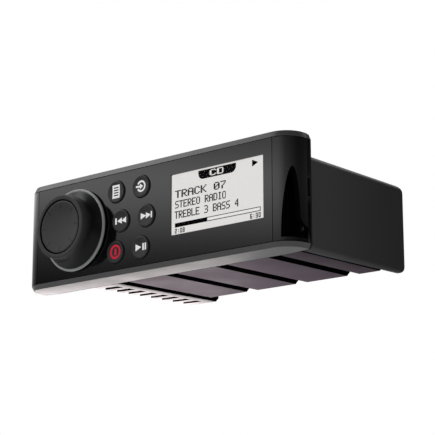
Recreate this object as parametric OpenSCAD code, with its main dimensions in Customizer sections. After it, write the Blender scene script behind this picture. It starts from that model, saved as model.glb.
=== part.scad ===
// Panel-mounted marine stereo: a curved front with display, knob and keys, and a finned chassis behind it.
// The origin is the centre of the panel-mounting plane, at the back of the gasket.
// +X is to the right of a person who faces the front, +Y goes into the panel, +Z is up.

/* [Front] */
// Overall width of the front
front_w = 177.8; // [175.4:0.2:183]
// Overall height of the front
front_h = 55.6; // [55:0.2:60]
// Plan radius of the curved ends
end_r = 11.75; // [10.5:0.25:13]
// Depth of the bezel from its face to the gasket
bezel_d = 14.5; // [14.25:0.25:18]
// Height of the rail above and below the face
rail_h = 2.9; // [2:0.1:3.4]
// Depth of the chamfer on the rails
rail_chamfer = 1.2; // [0.4:0.1:2.4]
// How far the underside of the bezel rises towards its face
rail_draft = 0.5; // [0:0.1:0.8]
// Thickness of the back wall of the bezel
back_t = 2; // [1.6:0.1:2.6]
// Width of each end cover, seen from the front
end_w = 10.9; // [10:0.1:11.4]
// Thickness of the end covers
cover_t = 2.4; // [1.6:0.1:3]
// Width of the seams between the face, the rails and the end covers
seam = 0.3; // [0.2:0.05:0.5]
// Thickness of the face panel
panel_t = 2.4; // [1.8:0.1:3]
// Thickness of the gasket
gasket_t = 1.3; // [0.8:0.1:2.5]
// Gap between the gasket and the case that passes through it
gasket_gap = 0.3; // [0.2:0.05:0.5]
// How far the gasket stays inside the bezel's edge
gasket_margin = 0.15; // [0.05:0.05:0.3]

/* [Thumb scoop] */
// Distance of the scoop's middle behind the face
scoop_y = 4.5; // [4.3:0.1:5.2]
// Width of the scoop
scoop_w = 6.9; // [6:0.1:7.8]
// Height of the scoop
scoop_h = 33.5; // [25:0.5:40]
// Bottom of the scoop below the middle of the face
scoop_low = 23; // [20:0.2:24]
// Thickness of the wall behind the scoop
scoop_wall = 1.2; // [0.8:0.1:1.5]
// Gap between that wall and the end cover
scoop_gap = 0.3; // [0.2:0.05:0.5]
// Height of the pry slot at the back edge
pry_h = 9; // [6:0.5:12]
// Depth of the pry slot
pry_d = 1.2; // [0.6:0.1:1.5]

/* [Panel screws] */
// Distance of the mounting screws from the ends of the front
screw_side = 4.1; // [3.9:0.05:4.3]
// Hole-to-hole height of the mounting screws
screw_span_h = 35; // [28:0.5:40]
// Radius of the mounting holes
screw_hole_r = 1.55; // [1.3:0.05:1.6]
// Radius of the pocket for a screw's head in the end covers
screw_pocket_r = 2.7; // [2.4:0.05:2.8]
// Depth of that pocket
screw_pocket_d = 2.6; // [2:0.1:3]

/* [Display] */
// Distance from the keys to the display window
window_gap = 10.3; // [10:0.1:16]
// Distance from the window to the seam at its right
window_side = 5.3; // [5:0.1:10]
// Height of the display window
window_h = 30.2; // [26:0.2:31]
// Middle of the window above the middle of the face
window_z = 2.4; // [1:0.1:3]
// Gap around the lens in its window
lens_gap = 0.1; // [0.05:0.05:0.3]
// How far the lens sits behind the face
lens_recess = 0.2; // [0.1:0.05:0.5]
// Width of the ledge that holds the lens behind the panel
lens_ledge = 1.5; // [1:0.1:2]
// Thickness of that ledge
ledge_t = 0.8; // [0.6:0.1:1.2]
// Thickness of the display glass
glass_t = 1.6; // [1:0.1:2]
// Wall of the display holder
holder_wall = 1.5; // [1:0.1:1.8]

/* [Keys] */
// Radius of a key
key_r = 5.6; // [5:0.1:6]
// Gap around a key
key_gap = 0.3; // [0.25:0.05:0.4]
// How far a key stands out of the face
key_raise = 0.9; // [0.8:0.1:1.5]
// Travel of a key
key_travel = 0.7; // [0.4:0.1:0.8]
// Distance from the knob's axis to the first key of the top row
key_out = 27.9; // [27.5:0.1:30]
// Middle row of keys, above the middle of the face
key_z = -0.3; // [-1:0.1:1]
// Distance between the two columns
key_step_x = 17.1; // [15:0.1:18]
// Distance between the rows
key_step_z = 15.4; // [14:0.1:16]
// Shift of the middle row to the right
key_shift = 3.6; // [2:0.1:4]
// Width of the collar that keeps a key behind the panel
key_collar = 1; // [0.8:0.1:1.2]
// Thickness of that collar
collar_t = 0.8; // [0.6:0.1:1]
// Radius of a key's stem
stem_r = 2.2; // [1.5:0.1:2.8]

/* [Knob] */
// Distance from the seam at the left to the knob's axis
knob_side = 28.8; // [26:0.1:30]
// Knob axis, above the middle of the face
knob_z = -0.6; // [-1.5:0.1:1]
// Outer radius of the knob's ring
ring_r = 21.3; // [19:0.1:22]
// Width of the ring
ring_w = 1.7; // [1.2:0.1:2.2]
// Height of the ring
ring_t = 1.2; // [0.8:0.1:1.6]
// Gap between the knob and the face
knob_gap = 0.9; // [0.9:0.05:1.2]
// Height of the knob from the face to its front
knob_h = 12.5; // [12.4:0.1:16]
// Radius of the waist of the flare
waist_r = 16.4; // [15.6:0.1:17.5]
// Radius of the front rim
rim_r = 16.6; // [15.6:0.1:17]
// Radius of the cap
cap_r = 13.9; // [12:0.1:14.6]
// Gap around the cap
cap_gap = 0.2; // [0.1:0.05:0.3]
// Depth of the dish in the cap
cap_dish = 0.7; // [0.3:0.05:0.9]
// Travel of the knob when it is pushed
push_travel = 0.5; // [0.3:0.05:0.55]

/* [Encoder] */
// Width of the encoder's body
encoder_w = 14; // [12:0.5:16]
// Radius of the threaded bush
bush_r = 4.5; // [4.2:0.1:5]
// Radius of the plunger in the bush
plunger_r = 3.45; // [3.2:0.05:3.6]
// Radius of the shaft in the plunger
shaft_r = 2.5; // [2.2:0.05:2.6]
// Running clearance of shafts and sleeves
run_gap = 0.05; // [0.02:0.01:0.1]

/* [Boards] */
// Thickness of the circuit boards
board_t = 1.6; // [1.2:0.1:2]
// Space between the panel and the control board
control_space = 4.6; // [4.6:0.1:5.4]
// Height of a key switch
switch_h = 2; // [1.6:0.1:2]
// Radius of the posts behind the panel
post_r = 3; // [2.6:0.1:3.2]
// Distance of the posts from the panel's edges
post_inset = 4.3; // [4:0.1:4.6]
// Radius of the small screws
screw_r = 1; // [0.8:0.05:1.1]

/* [Chassis] */
// Width of the flange beside the case
flange_side = 6.8; // [6.5:0.1:7.2]
// Height of the flange above the case
flange_top = 6.9; // [6.6:0.1:10]
// Height of the flange below the case's right wall
flange_low = 1.5; // [1.2:0.1:2.4]
// Depth of the case behind the panel
case_d = 85.6; // [80:0.2:110]
// Wall of the case
case_wall = 2.2; // [1.6:0.1:2.8]
// Radius of the long edges of the case
edge_r = 3.5; // [1:0.5:4]
// Radius of the rear corners of the case
rear_r = 4; // [1:0.5:5]
// How far the top draws in towards the rear
draft = 0.7; // [0:0.1:1]
// How far the bottom of the right wall rises towards the rear
low_draft = 1.4; // [0:0.1:2]
// Distance from the left of the case to the heat sink
sink_side = 25.1; // [22:0.1:28]
// Height of the step to the left of the heat sink, above the bottom of the front
step_rise = 13.8; // [12.8:0.2:14.4]
// Depth of the recess behind the heat sink
recess_d = 13.6; // [12:0.2:18]
// How far the fins reach into that recess
comb_extra = 10.5; // [6:0.5:11.5]
// Thickness of the heat sink's plate
plate_t = 2.5; // [2:0.1:3]
// Underside of that plate above the bottom of the front
plate_rise = 6.8; // [6.4:0.1:7.2]
// Bottom of the ribs at the panel, above the bottom of the front
rib_rise = 1.1; // [1:0.1:1.8]
// How far the ribs rise towards the rear
rib_slope = 0.9; // [0:0.1:1.5]
// Chamfer at the rear of the ribs
rib_chamfer = 2.6; // [1:0.1:3.4]
// Distance from the heat sink's left end to the middle of the first slot
slot_side = 22.8; // [20:0.2:24]
// Distance from the middle of the last slot to the heat sink's right end
slot_end = 16.2; // [12:0.2:20]
// Width of a slot
slot_w = 7.4; // [4.2:0.1:8]
// Number of slots
slots = 4; // [2:1:5]
// Length of the gaps between the fins
fin_l = 13; // [8:0.5:14]
// First gap between the fins, behind the panel
fin_y = 11.2; // [9:0.2:13]
// Last gap between the fins, from the end of the comb
fin_tail = 9.9; // [4:0.1:12]
// Width of a gap between fins
fin_gap = 4.4; // [2:0.1:5]
// Number of gaps between fins
fin_gaps = 8; // [3:1:9]
// Height by which the outer rib's bottom curves up to its outer edge
comb_rise = 0.4; // [0.3:0.1:2]
// Extra rise of the outer rib's bottom to its rear end, so that the unit lies on its broad ribs
comb_lift = 0.5; // [0.4:0.1:1]

/* [Rear] */
// Height of the sockets above the middle of the face
socket_z = 4; // [2:0.5:6]
// How far the sockets stand out of the rear wall
socket_out = 6; // [4:0.5:12]
// Wall of the sockets
socket_wall = 1.8; // [1.2:0.1:2.2]
// Inner width of the power socket
power_w = 26; // [20:0.5:30]
// Inner width of the speaker socket
speaker_w = 34; // [28:0.5:36]
// Inner height of the multi-pin sockets
socket_h = 10; // [8:0.5:12]
// Depth of the multi-pin sockets
socket_depth = 12; // [9:0.5:13]
// Radius of the antenna socket's bore
antenna_r = 4.2; // [3.5:0.1:5]
// Length of the antenna socket's bore
antenna_l = 14; // [10:0.5:16]
// Outer radius of a line-out socket
line_r = 4.2; // [3.8:0.1:4.4]
// Distance between the line-out sockets
line_step = 14; // [12:0.5:15]

/* [Hidden] */
$fn = 64;

// Small overlap that keeps cuts clean
eps = 0.01;
// Length that reaches past any piece
far = 300;

// Depth planes, from the face to the back of the bezel
face_y = -(bezel_d + gasket_t);
panel_y = face_y + panel_t;
board_y = panel_y + control_space;
board_back_y = board_y + board_t;
back_y = -gasket_t - back_t;

// Front
straight_w = front_w - 2 * end_r;
rail_in = front_h / 2 - rail_h;
panel_half_h = rail_in - seam;
seam_x = front_w / 2 - end_w;
screw_span_w = front_w - 2 * screw_side;
half_h = front_h / 2;
scoop_wall_x = seam_x + 2.2;
pry_z = 1.5;
cover_inner_r = end_r - cover_t;
scoop_wall_reach = scoop_wall_x + scoop_wall - straight_w / 2;
scoop_wall_y = face_y + end_r - sqrt(pow(cover_inner_r, 2) - pow(scoop_wall_reach, 2)) + scoop_gap;

// Layout of the face from left to right: knob, keys, display
knob_x = -seam_x + knob_side;
key_x = knob_x + key_out;
keys_right = key_x + key_shift + key_step_x + key_r;
window_left = keys_right + window_gap;
window_w = seam_x - window_side - window_left;
window_x = window_left + window_w / 2;

// Keys, in the order menu, source, previous, next, power, play
key_places = [
  [key_x, key_z + key_step_z], [key_x + key_step_x, key_z + key_step_z],
  [key_x + key_shift, key_z], [key_x + key_shift + key_step_x, key_z],
  [key_x, key_z - key_step_z], [key_x + key_step_x, key_z - key_step_z]
];
key_hole_r = key_r + key_gap;
switch_y = board_y - switch_h;
stem_gap = 0.3;
switch_w = 6;
mat_t = 0.8;
mat_margin = 7;
mat_gap = 0.2;

// Gap around the display stack in its holder
holder_gap = 0.1;

// Posts behind the panel: three along the bottom, two along the top
post_z = panel_half_h - post_inset;
post_side_x = seam_x - post_inset;
post_gap = 0.4;
post_mid_x = window_left - lens_ledge - holder_gap - holder_wall - post_gap - post_r;
posts = [
  [-post_side_x, post_z], [-post_side_x, -post_z],
  [post_mid_x, post_z], [post_mid_x, -post_z], [post_side_x, -post_z]
];
thread_gap = 0.05;
head_r = 2.2 * screw_r;
head_t = 1.4 * screw_r;
small_head_r = 1.8 * screw_r;
small_head_t = 0.8 * screw_r;
board_w = 2 * (post_side_x + post_r);
board_h = 2 * (post_z + post_r - 0.4);

// Display stack behind the panel
glass_y = panel_y + ledge_t;
backlight_y = glass_y + glass_t;
stack_w = window_w + 2 * lens_ledge;
stack_h = window_h + 2 * lens_ledge;

// Knob and encoder heights, measured forward from the face
bush_top = 4.4;
rim_h = 3;
plunger_top = bush_top + 0.9;
spline_low = plunger_top + 0.3;
spline_r = shaft_r + 0.5;
spline_top = knob_h - rim_h;
nut_r = bush_r + 2;
nut_t = 2.2;
washer_r = nut_r + 1;
washer_t = 0.5;
nut_room_r = washer_r + 2;
bush_hole_r = bush_r + 0.1;
cap_seat = knob_h - 1.7;
cap_rim = knob_h - 0.5;
flare_low = knob_gap + ring_t;
flare_top = knob_h - rim_h;
skirt_r = ring_r - ring_w;
flare_r = ring_r - 1;
skirt_wall = 2.6;
skirt_room = 3;
encoder_floor = 0.6;
clip_t = 0.5;
neck_r = shaft_r - 0.9;
clip_r = plunger_r - 0.15;
plunger_back = control_space - encoder_floor - 0.4 - clip_t - 0.3 - push_travel - 0.3;
collar_r = plunger_r + 0.25;
well_r = collar_r + 0.35;

// Case
half_w = front_w / 2 - flange_side;
case_top = half_h - flange_top;
case_low = half_h - flange_low;
inner_right = half_w - case_wall;
sink_x = -half_w + sink_side;
sink_d = case_d - recess_d;
step_low = half_h - step_rise;
plate_low = half_h - plate_rise;
inner_top = case_top - draft - case_wall;
plate_top = -plate_low + plate_t;
step_floor = -step_low + case_wall;
ledge_top = plate_top + case_wall;
rear_in = case_d - case_wall;
sink_gap = 0.1;
sink_right = inner_right - sink_gap;
blind_d = plate_t - 0.6;
ledge_lap = 2.2;
rib_low = half_h - rib_rise;
slot_first = sink_x + slot_side;
slot_step = (sink_right - slot_end - slot_first) / (slots - 1);
slot_places = [for (i = [0 : slots - 1]) slot_first + i * slot_step];
throat_side = 12;
throat_low = 1.5;
throat_high = 7;
throat_z = [plate_top + throat_low, case_top - throat_high];
comb_right = slot_first - slot_w / 2;
comb_end = sink_d + comb_extra;
fin_step = (comb_end - fin_tail - fin_y) / (fin_gaps - 1);
comb_run = comb_right - sink_x;
comb_r = (comb_run * comb_run + comb_rise * comb_rise) / (2 * comb_rise);
comb_slope = atan((rib_slope + comb_lift) / (comb_end - rib_chamfer + gasket_t));

// Screws that hold the case to the bezel
boss_r = 3.6;
boss_l = 10;
boss_in = case_wall + boss_r - 0.6;
bosses = [
  [half_w - boss_in, case_top - draft - boss_in], [-half_w + boss_in, case_top - draft - boss_in],
  [half_w - boss_in, plate_top + boss_r + 1], [-half_w + boss_in, step_floor + boss_r - 0.6]
];
chassis_screw_r = 1.5;
chassis_head_r = 2.9;
chassis_head_t = 2;

// Boards and parts inside the case
standoff_h = 8.5;
standoff_r = 3;
main_z = plate_top + standoff_h;
main_top = main_z + board_t;
main_margin = 3;
main_front = 2;
main_notch = [2 * boss_r, boss_l + 1];
main_left = -inner_right + main_margin;
main_w = 2 * (inner_right - main_margin);
main_d = rear_in - main_margin - main_front;
standoff_side = 13;
standoff_end = 10;
standoff_rear = 24;
standoff_x = [sink_x + standoff_side, inner_right - standoff_end];
standoff_y = [standoff_end, sink_d - standoff_rear];
chip_w = 32;
chip_d = 16;
chip_h = 4.5;
chip_at = [main_left + 0.56 * main_w, main_front + 0.36 * main_d];
clamp_over = 8;
clamp_w = 8;
clamp_t = 2;
clamp_leg_r = 2.4;
clamp_x = (chip_w + clamp_over) / 2;
can_r = 6.3;
can_h = 20;
can_gap = 1.4;
cans = 3;
can_step = 2 * can_r + can_gap;
can_first = main_left + can_r + can_gap;
choke_r = 9;
choke_hole_r = 4;
choke_h = 9;
choke_at = [main_left + choke_r + can_gap, main_front + 0.42 * main_d];
tuner_w = 36;
tuner_d = 26;
tuner_h = 12;
tuner_at = [main_left + 0.78 * main_w, main_front + 0.5 * main_d];
board_chip_w = 14;
board_chip_h = 1.6;
board_chip_places = [
  [main_left + 0.3 * main_w, main_front + 0.28 * main_d],
  [main_left + 0.45 * main_w, main_front + 0.62 * main_d],
  [main_left + 0.58 * main_w, main_front + 0.32 * main_d]
];
link_w = 30;
link_h = 4;
link_d = 8;
link_x = main_left + 0.5 * main_w;

// Sockets on the rear wall
fuse_w = 19;
fuse_t = 5;
fuse_d = 13;
fuse_wall = 2;
fuse_rim = 1;
fuse_rim_t = 2;
fuse_gap = 0.2;
fuse_body_t = 4;
fuse_grip = 4;
collar = 2;
collar_len = 1.6;
line_collar = 1.6;
line_bore_r = 1.7;
line_out = 8;
line_in = 3;
fit_gap = 0.1;
row_left = 0.353;
row_share = 0.1375;
fuse_span = fuse_w + 2 * (fuse_wall + fuse_rim);
power_span = power_w + 2 * (socket_wall + collar);
speaker_span = speaker_w + 2 * (socket_wall + collar);
line_span = 2 * (line_r + line_collar);
antenna_span = 2 * (antenna_r + socket_wall + collar);
row_spare = 2 * inner_right - fuse_span - power_span - speaker_span - line_span - antenna_span;
socket_step = row_share * row_spare;
fuse_x = -inner_right + row_left * row_spare + fuse_span / 2;
power_x = fuse_x + (fuse_span + power_span) / 2 + socket_step;
speaker_x = power_x + (power_span + speaker_span) / 2 + socket_step;
line_x = speaker_x + (speaker_span + line_span) / 2 + socket_step;
antenna_x = line_x + (line_span + antenna_span) / 2 + socket_step;
fuse_in = case_d + fuse_rim_t - fuse_d;
can_y = fuse_in - can_gap - can_r;
socket_floor = case_d + socket_out - socket_depth;
pin_r = 0.6;
pin_in = 3;
pin_out = 6;
pin_step = 5.5;
pin_row_step = 4;
power_pins = 3;
speaker_pins = 4;

// Points of an arc around centre c, from angle a to angle b
function arc(c, r, a, b, n = 8) =
  [for (i = [0 : n]) c + r * [cos(a + (b - a) * i / n), sin(a + (b - a) * i / n)]];

// Rectangle from lo to hi with all its corners rounded
function rounded(lo, hi, r) = concat(
  arc([hi.x - r, hi.y - r], r, 0, 90), arc([lo.x + r, hi.y - r], r, 90, 180),
  arc([lo.x + r, lo.y + r], r, 180, 270), arc([hi.x - r, lo.y + r], r, 270, 360));

// Box between two corners
module block(lo, hi) {
  translate(lo) cube(hi - lo);
}

// Flat shape in X and Z, drawn out from depth y0 to depth y1
module along_y(y0, y1) {
  translate([0, y1, 0]) rotate([90, 0, 0]) linear_extrude(y1 - y0) children();
}

// Flat shape in Y and Z, drawn out from x0 to x1
module along_x(x0, x1) {
  translate([x0, 0, 0]) rotate([90, 0, 90]) linear_extrude(x1 - x0) children();
}

// Round rod along Y at place p, from depth y0 to depth y1
module rod(p, r, y0, y1) {
  translate([p.x, y0, p.y]) rotate([-90, 0, 0]) cylinder(r = r, h = y1 - y0);
}

// Turned piece on the knob's axis, whose profile is a radius and a height in front of the face
module turned(points) {
  translate([knob_x, face_y, knob_z]) rotate([90, 0, 0]) rotate_extrude($fn = 96) polygon(points);
}

// Plan of the front, drawn in by inset
module front_plan(inset) {
  r = end_r - inset;
  half = front_w / 2 - inset;
  translate([-straight_w / 2, face_y + inset]) square([straight_w, r]);
  for (s = [-1, 1]) translate([s * straight_w / 2, face_y + end_r]) circle(r = r);
  translate([-half, face_y + end_r]) square([2 * half, bezel_d - end_r]);
}

// Rail with a chamfered front edge that follows the plan, standing on z = 0 and sloped by drop to the front
module rail(drop) {
  section = [[0, 0], [rail_chamfer, rail_h - drop], [end_r, rail_h], [end_r, 0]];
  along_x(-straight_w / 2, straight_w / 2) translate([face_y, 0]) polygon(section);
  block([-straight_w / 2, face_y + end_r, 0], [straight_w / 2, -gasket_t, rail_h]);
  for (side = [0, 1]) mirror([side, 0, 0]) {
    translate([straight_w / 2, face_y + end_r, 0]) rotate([0, 0, -90])
      rotate_extrude(angle = 90, $fn = 96) polygon([for (p = section) [end_r - p.x, p.y]]);
    along_y(face_y + end_r, -gasket_t) polygon([for (p = section) [front_w / 2 - p.x, p.y]]);
  }
}

module mounting_holes(y0, y1) {
  for (sx = [-1, 1], sz = [-1, 1])
    rod([sx * screw_span_w / 2, sz * screw_span_h / 2], screw_hole_r, y0, y1);
}

module front_bezel() {
  color("#2c2c2e") difference() {
    union() {
      for (m = [0, 1]) mirror([0, 0, m]) translate([0, 0, rail_in]) rail(m * rail_draft);
      translate([0, 0, -rail_in]) linear_extrude(2 * rail_in) intersection() {
        front_plan(0);
        translate([-front_w, back_y]) square([2 * front_w, back_t]);
      }
      for (side = [0, 1]) mirror([side, 0, 0])
        block([scoop_wall_x, scoop_wall_y, -rail_in - eps],
              [scoop_wall_x + scoop_wall, back_y + eps, rail_in + eps]);
    }
    block([-half_w + throat_side, back_y - 1, throat_z[0]], [half_w - throat_side, 1, throat_z[1]]);
    mounting_holes(back_y - 1, 1);
    for (b = bosses) rod(b, chassis_screw_r + thread_gap, back_y - 1, 1);
    for (s = [-1, 1])
      translate([s * front_w / 2, (back_y - gasket_t) / 2, pry_z])
        cube([2 * pry_d, back_t + 1, pry_h], center = true);
  }
}

module face_panel() {
  color("#333336") difference() {
    union() {
      translate([0, 0, -panel_half_h]) linear_extrude(2 * panel_half_h) intersection() {
        front_plan(0);
        translate([-seam_x + seam / 2, face_y]) square([2 * seam_x - seam, panel_t]);
      }
      for (p = posts) rod(p, post_r, panel_y - eps, board_y);
    }
    block([window_x - window_w / 2, face_y - 1, window_z - window_h / 2],
          [window_x + window_w / 2, panel_y + 1, window_z + window_h / 2]);
    for (p = key_places) rod(p, key_hole_r, face_y - 1, panel_y + 1);
    rod([knob_x, knob_z], bush_hole_r, face_y - 1, panel_y + 1);
    for (p = posts) rod(p, screw_r + thread_gap, panel_y, board_y + 1);
  }
}

// Arch of the thumb scoop, which opens to the back at its foot
module scoop_shape() {
  middle = face_y + scoop_y;
  polygon([for (a = [0 : 7.5 : 180]) [middle + scoop_w / 2 * cos(a), -scoop_low + scoop_h * sin(a)]]);
  polygon(concat(
    [[back_y + 1, -scoop_low], [middle, -scoop_low]],
    [[middle, -scoop_low + scoop_h / 3]],
    arc([back_y + 1, -scoop_low + scoop_h / 3], back_y - middle - scoop_w / 2 + 1.4, 180, 270)));
}

module end_cover(scooped) {
  color("#2f2f31") difference() {
    translate([0, 0, -panel_half_h]) linear_extrude(2 * panel_half_h) intersection() {
      difference() {
        front_plan(0);
        front_plan(cover_t);
      }
      translate([seam_x + seam / 2, face_y - 1]) square([front_w, back_y - face_y + 1]);
    }
    if (scooped) along_x(seam_x + cover_t, front_w) scoop_shape();
    for (s = [-1, 1])
      rod([screw_span_w / 2, s * screw_span_h / 2], screw_pocket_r, back_y - screw_pocket_d, back_y + 1);
  }
}

module end_cover_right() {
  end_cover(true);
}

module end_cover_left() {
  mirror([1, 0, 0]) end_cover(false);
}

// Seal with the outline of the bezel's back, around the case
module panel_gasket() {
  edge = [front_w / 2 - gasket_margin, half_h - gasket_margin];
  lo = [-half_w - gasket_gap, -rib_low - gasket_gap];
  hi = [half_w + gasket_gap, case_top + gasket_gap];
  outline = [
    [edge.x, rail_in], [edge.x - rail_chamfer, edge.y], [0, edge.y],
    [0, -edge.y], [straight_w / 2, -edge.y], [edge.x - rail_chamfer, -edge.y + rail_draft], [edge.x, -rail_in]
  ];
  color("#101011") difference() {
    along_y(-gasket_t, 0) difference() {
      hull() for (s = [-1, 1]) scale([s, 1]) polygon(outline);
      polygon([lo, [lo.x, hi.y], hi, [hi.x, lo.y]]);
    }
    mounting_holes(-gasket_t - 1, 1);
  }
}

module display_lens() {
  half = [window_w / 2 - lens_gap, window_h / 2 - lens_gap];
  color("#dfe3df", 0.35) union() {
    block([window_x - half.x, face_y + lens_recess, window_z - half.y],
          [window_x + half.x, glass_y, window_z + half.y]);
    block([window_x - stack_w / 2, panel_y, window_z - stack_h / 2],
          [window_x + stack_w / 2, glass_y, window_z + stack_h / 2]);
  }
}

module display_layer(y0, y1) {
  block([window_x - stack_w / 2, y0, window_z - stack_h / 2],
        [window_x + stack_w / 2, y1, window_z + stack_h / 2]);
}

module lcd_glass() {
  color("#d9dbd6") display_layer(glass_y, backlight_y);
}

module lcd_backlight() {
  color("#f2f2ee") display_layer(backlight_y, board_y);
}

module lcd_holder() {
  inner = [stack_w / 2 + holder_gap, stack_h / 2 + holder_gap];
  outer = inner + [holder_wall, holder_wall];
  color("#1c1c1e") difference() {
    block([window_x - outer.x, panel_y, window_z - outer.y],
          [window_x + outer.x, board_y, window_z + outer.y]);
    block([window_x - inner.x, panel_y - 1, window_z - inner.y],
          [window_x + inner.x, board_y + 1, window_z + inner.y]);
  }
}

module control_board() {
  color("#1f5a36") difference() {
    block([-board_w / 2, board_y, -board_h / 2], [board_w / 2, board_back_y, board_h / 2]);
    for (p = posts) rod(p, screw_r + 2 * thread_gap, board_y - 1, board_back_y + 1);
  }
}

module board_screws() {
  color("#b9bbbd") for (p = posts) {
    rod(p, screw_r, panel_y + 0.6, board_back_y + eps);
    rod(p, head_r, board_back_y, board_back_y + head_t);
  }
}

module tact_switches() {
  color("#222224") for (p = key_places)
    translate([p.x, (switch_y + board_y) / 2, p.y]) cube([switch_w, switch_h, switch_w], center = true);
}

module keypad_mat() {
  lo = [key_x - mat_margin, key_z - key_step_z - mat_margin + 1];
  hi = [key_x + key_shift + key_step_x + mat_margin, key_z + key_step_z + mat_margin - 1];
  hole = switch_w + 2 * mat_gap;
  color("#3a3a3d") along_y(board_y - mat_t, board_y) difference() {
    translate(lo) square(hi - lo);
    for (p = key_places) translate(p) square(hole, center = true);
    for (p = posts) translate(p) circle(r = post_r + mat_gap);
  }
}

// Key with its collar behind the panel and its stem over the switch
module key(i) {
  collar_y = panel_y + stem_gap;
  color("#303033") union() {
    rod(key_places[i], key_r, face_y - key_raise, collar_y + eps);
    rod(key_places[i], key_r + key_collar, collar_y, collar_y + collar_t);
    rod(key_places[i], stem_r, collar_y, switch_y - key_travel - stem_gap);
  }
}

module button_menu() {
  key(0);
}

module button_source() {
  key(1);
}

module button_previous() {
  key(2);
}

module button_next() {
  key(3);
}

module button_power() {
  key(4);
}

module button_play() {
  key(5);
}

module encoder_body() {
  half = encoder_w / 2;
  color("#4a4d50") difference() {
    block([knob_x - half, panel_y, knob_z - half], [knob_x + half, board_y, knob_z + half]);
    rod([knob_x, knob_z], well_r, panel_y - 1, board_y - encoder_floor);
  }
}

module encoder_bush() {
  bore = plunger_r + run_gap;
  color("#a8a9a6") turned([[bore, -panel_t], [bush_r, -panel_t], [bush_r, bush_top], [bore, bush_top]]);
}

module encoder_washer() {
  bore = bush_r + run_gap;
  color("#b4b6b8") turned([[bore, 0], [washer_r, 0], [washer_r, washer_t], [bore, washer_t]]);
}

module encoder_nut() {
  color("#b4b6b8") difference() {
    translate([knob_x, face_y - washer_t, knob_z]) rotate([90, 0, 0])
      cylinder(r = nut_r, h = nut_t - washer_t, $fn = 6);
    rod([knob_x, knob_z], bush_r + run_gap, face_y - far, face_y);
  }
}

module encoder_plunger() {
  low = -panel_t - plunger_back;
  bore = shaft_r + run_gap;
  color("#8e9092") turned([
    [bore, low], [collar_r, low], [collar_r, low + 0.6],
    [plunger_r, low + 0.6], [plunger_r, plunger_top], [bore, plunger_top]]);
}

module encoder_shaft() {
  low = -panel_t - plunger_back;
  color("#9b9da0") turned([
    [0, low - 0.3 - clip_t], [neck_r, low - 0.3 - clip_t], [neck_r, low - 0.2], [shaft_r, low - 0.2],
    [shaft_r, spline_low], [spline_r, spline_low], [spline_r, spline_top], [0, spline_top]]);
}

module shaft_clip() {
  low = -panel_t - plunger_back - 0.3 - clip_t;
  color("#c3c5c7") turned([
    [neck_r + run_gap, low], [clip_r, low], [clip_r, low + clip_t], [neck_r + run_gap, low + clip_t]]);
}

module knob_body() {
  cap_room = cap_r + cap_gap;
  flare = [for (i = [0 : 12]) [
    waist_r + (flare_r - waist_r) * pow(1 - sin(90 * i / 12), 1.6),
    flare_low + (flare_top - flare_low) * i / 12]];
  rim = arc([rim_r - 0.9, knob_h - 0.9], 0.9, 0, 90, 5);
  bore = spline_r + run_gap;
  bore_top = spline_top + 0.1;
  inner_r = skirt_r - skirt_wall;
  color("#1b1b1c") turned(concat(
    [[inner_r, knob_gap], [skirt_r, knob_gap], [skirt_r, flare_low]],
    flare, rim,
    [[cap_room, knob_h], [cap_room, cap_seat], [0, cap_seat], [0, bore_top], [bore, bore_top]],
    [[bore, spline_low], [nut_room_r, spline_low], [nut_room_r, skirt_room], [inner_r, skirt_room]]));
}

module knob_cap() {
  dish = [for (i = [0 : 10]) [(cap_r - 0.8) * (1 - i / 10), cap_rim - cap_dish * (1 - pow(1 - i / 10, 2))]];
  color("#3f3f41") turned(concat([[0, cap_seat], [cap_r, cap_seat], [cap_r, cap_rim]], dish));
}

module knob_ring() {
  color("#b9bbbb") turned([
    [skirt_r + run_gap, knob_gap], [ring_r - 0.2, knob_gap], [ring_r, knob_gap + 0.2],
    [ring_r - 0.9, flare_low], [skirt_r + run_gap, flare_low]]);
}

// Outside of the case: rounded along its length, drawn in to the rear and rounded there
module case_block() {
  intersection() {
    along_y(-gasket_t, case_d) polygon(rounded([-half_w, -case_low], [half_w, case_top], edge_r));
    along_x(-half_w - 1, half_w + 1) polygon(concat(
      [[-gasket_t, -case_low], [-gasket_t, case_top]],
      arc([case_d - rear_r, case_top - draft - rear_r], rear_r, 90, 0),
      arc([case_d - rear_r, -case_low + low_draft + rear_r], rear_r, 0, -90)));
  }
}

module case_shell() {
  color("#242426") difference() {
    union() {
      difference() {
        case_block();
        block([-far, -far, -far], [sink_x, far, -step_low]);
        block([sink_x - 1, sink_d, -far], [inner_right, far, plate_top]);
        block([-inner_right, -far, step_floor], [inner_right, rear_in, inner_top]);
        block([sink_x + case_wall, -far, -far], [inner_right, sink_d - ledge_lap, step_floor + 1]);
        block([sink_x + case_wall, -far, ledge_top], [inner_right, rear_in, step_floor + 1]);
        block([sink_x - 1, -far, -far], [inner_right, sink_d, plate_top]);
      }
      for (b = bosses) rod(b, boss_r, -gasket_t, boss_l);
    }
    for (b = bosses) rod(b, chassis_screw_r + thread_gap, -far, boss_l - 1);
    for (x = slot_places) translate([x, sink_d - ledge_lap / 2, plate_top - 1])
      cylinder(r = screw_r + thread_gap, h = case_wall + 2);
    rear_openings();
  }
}

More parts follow.
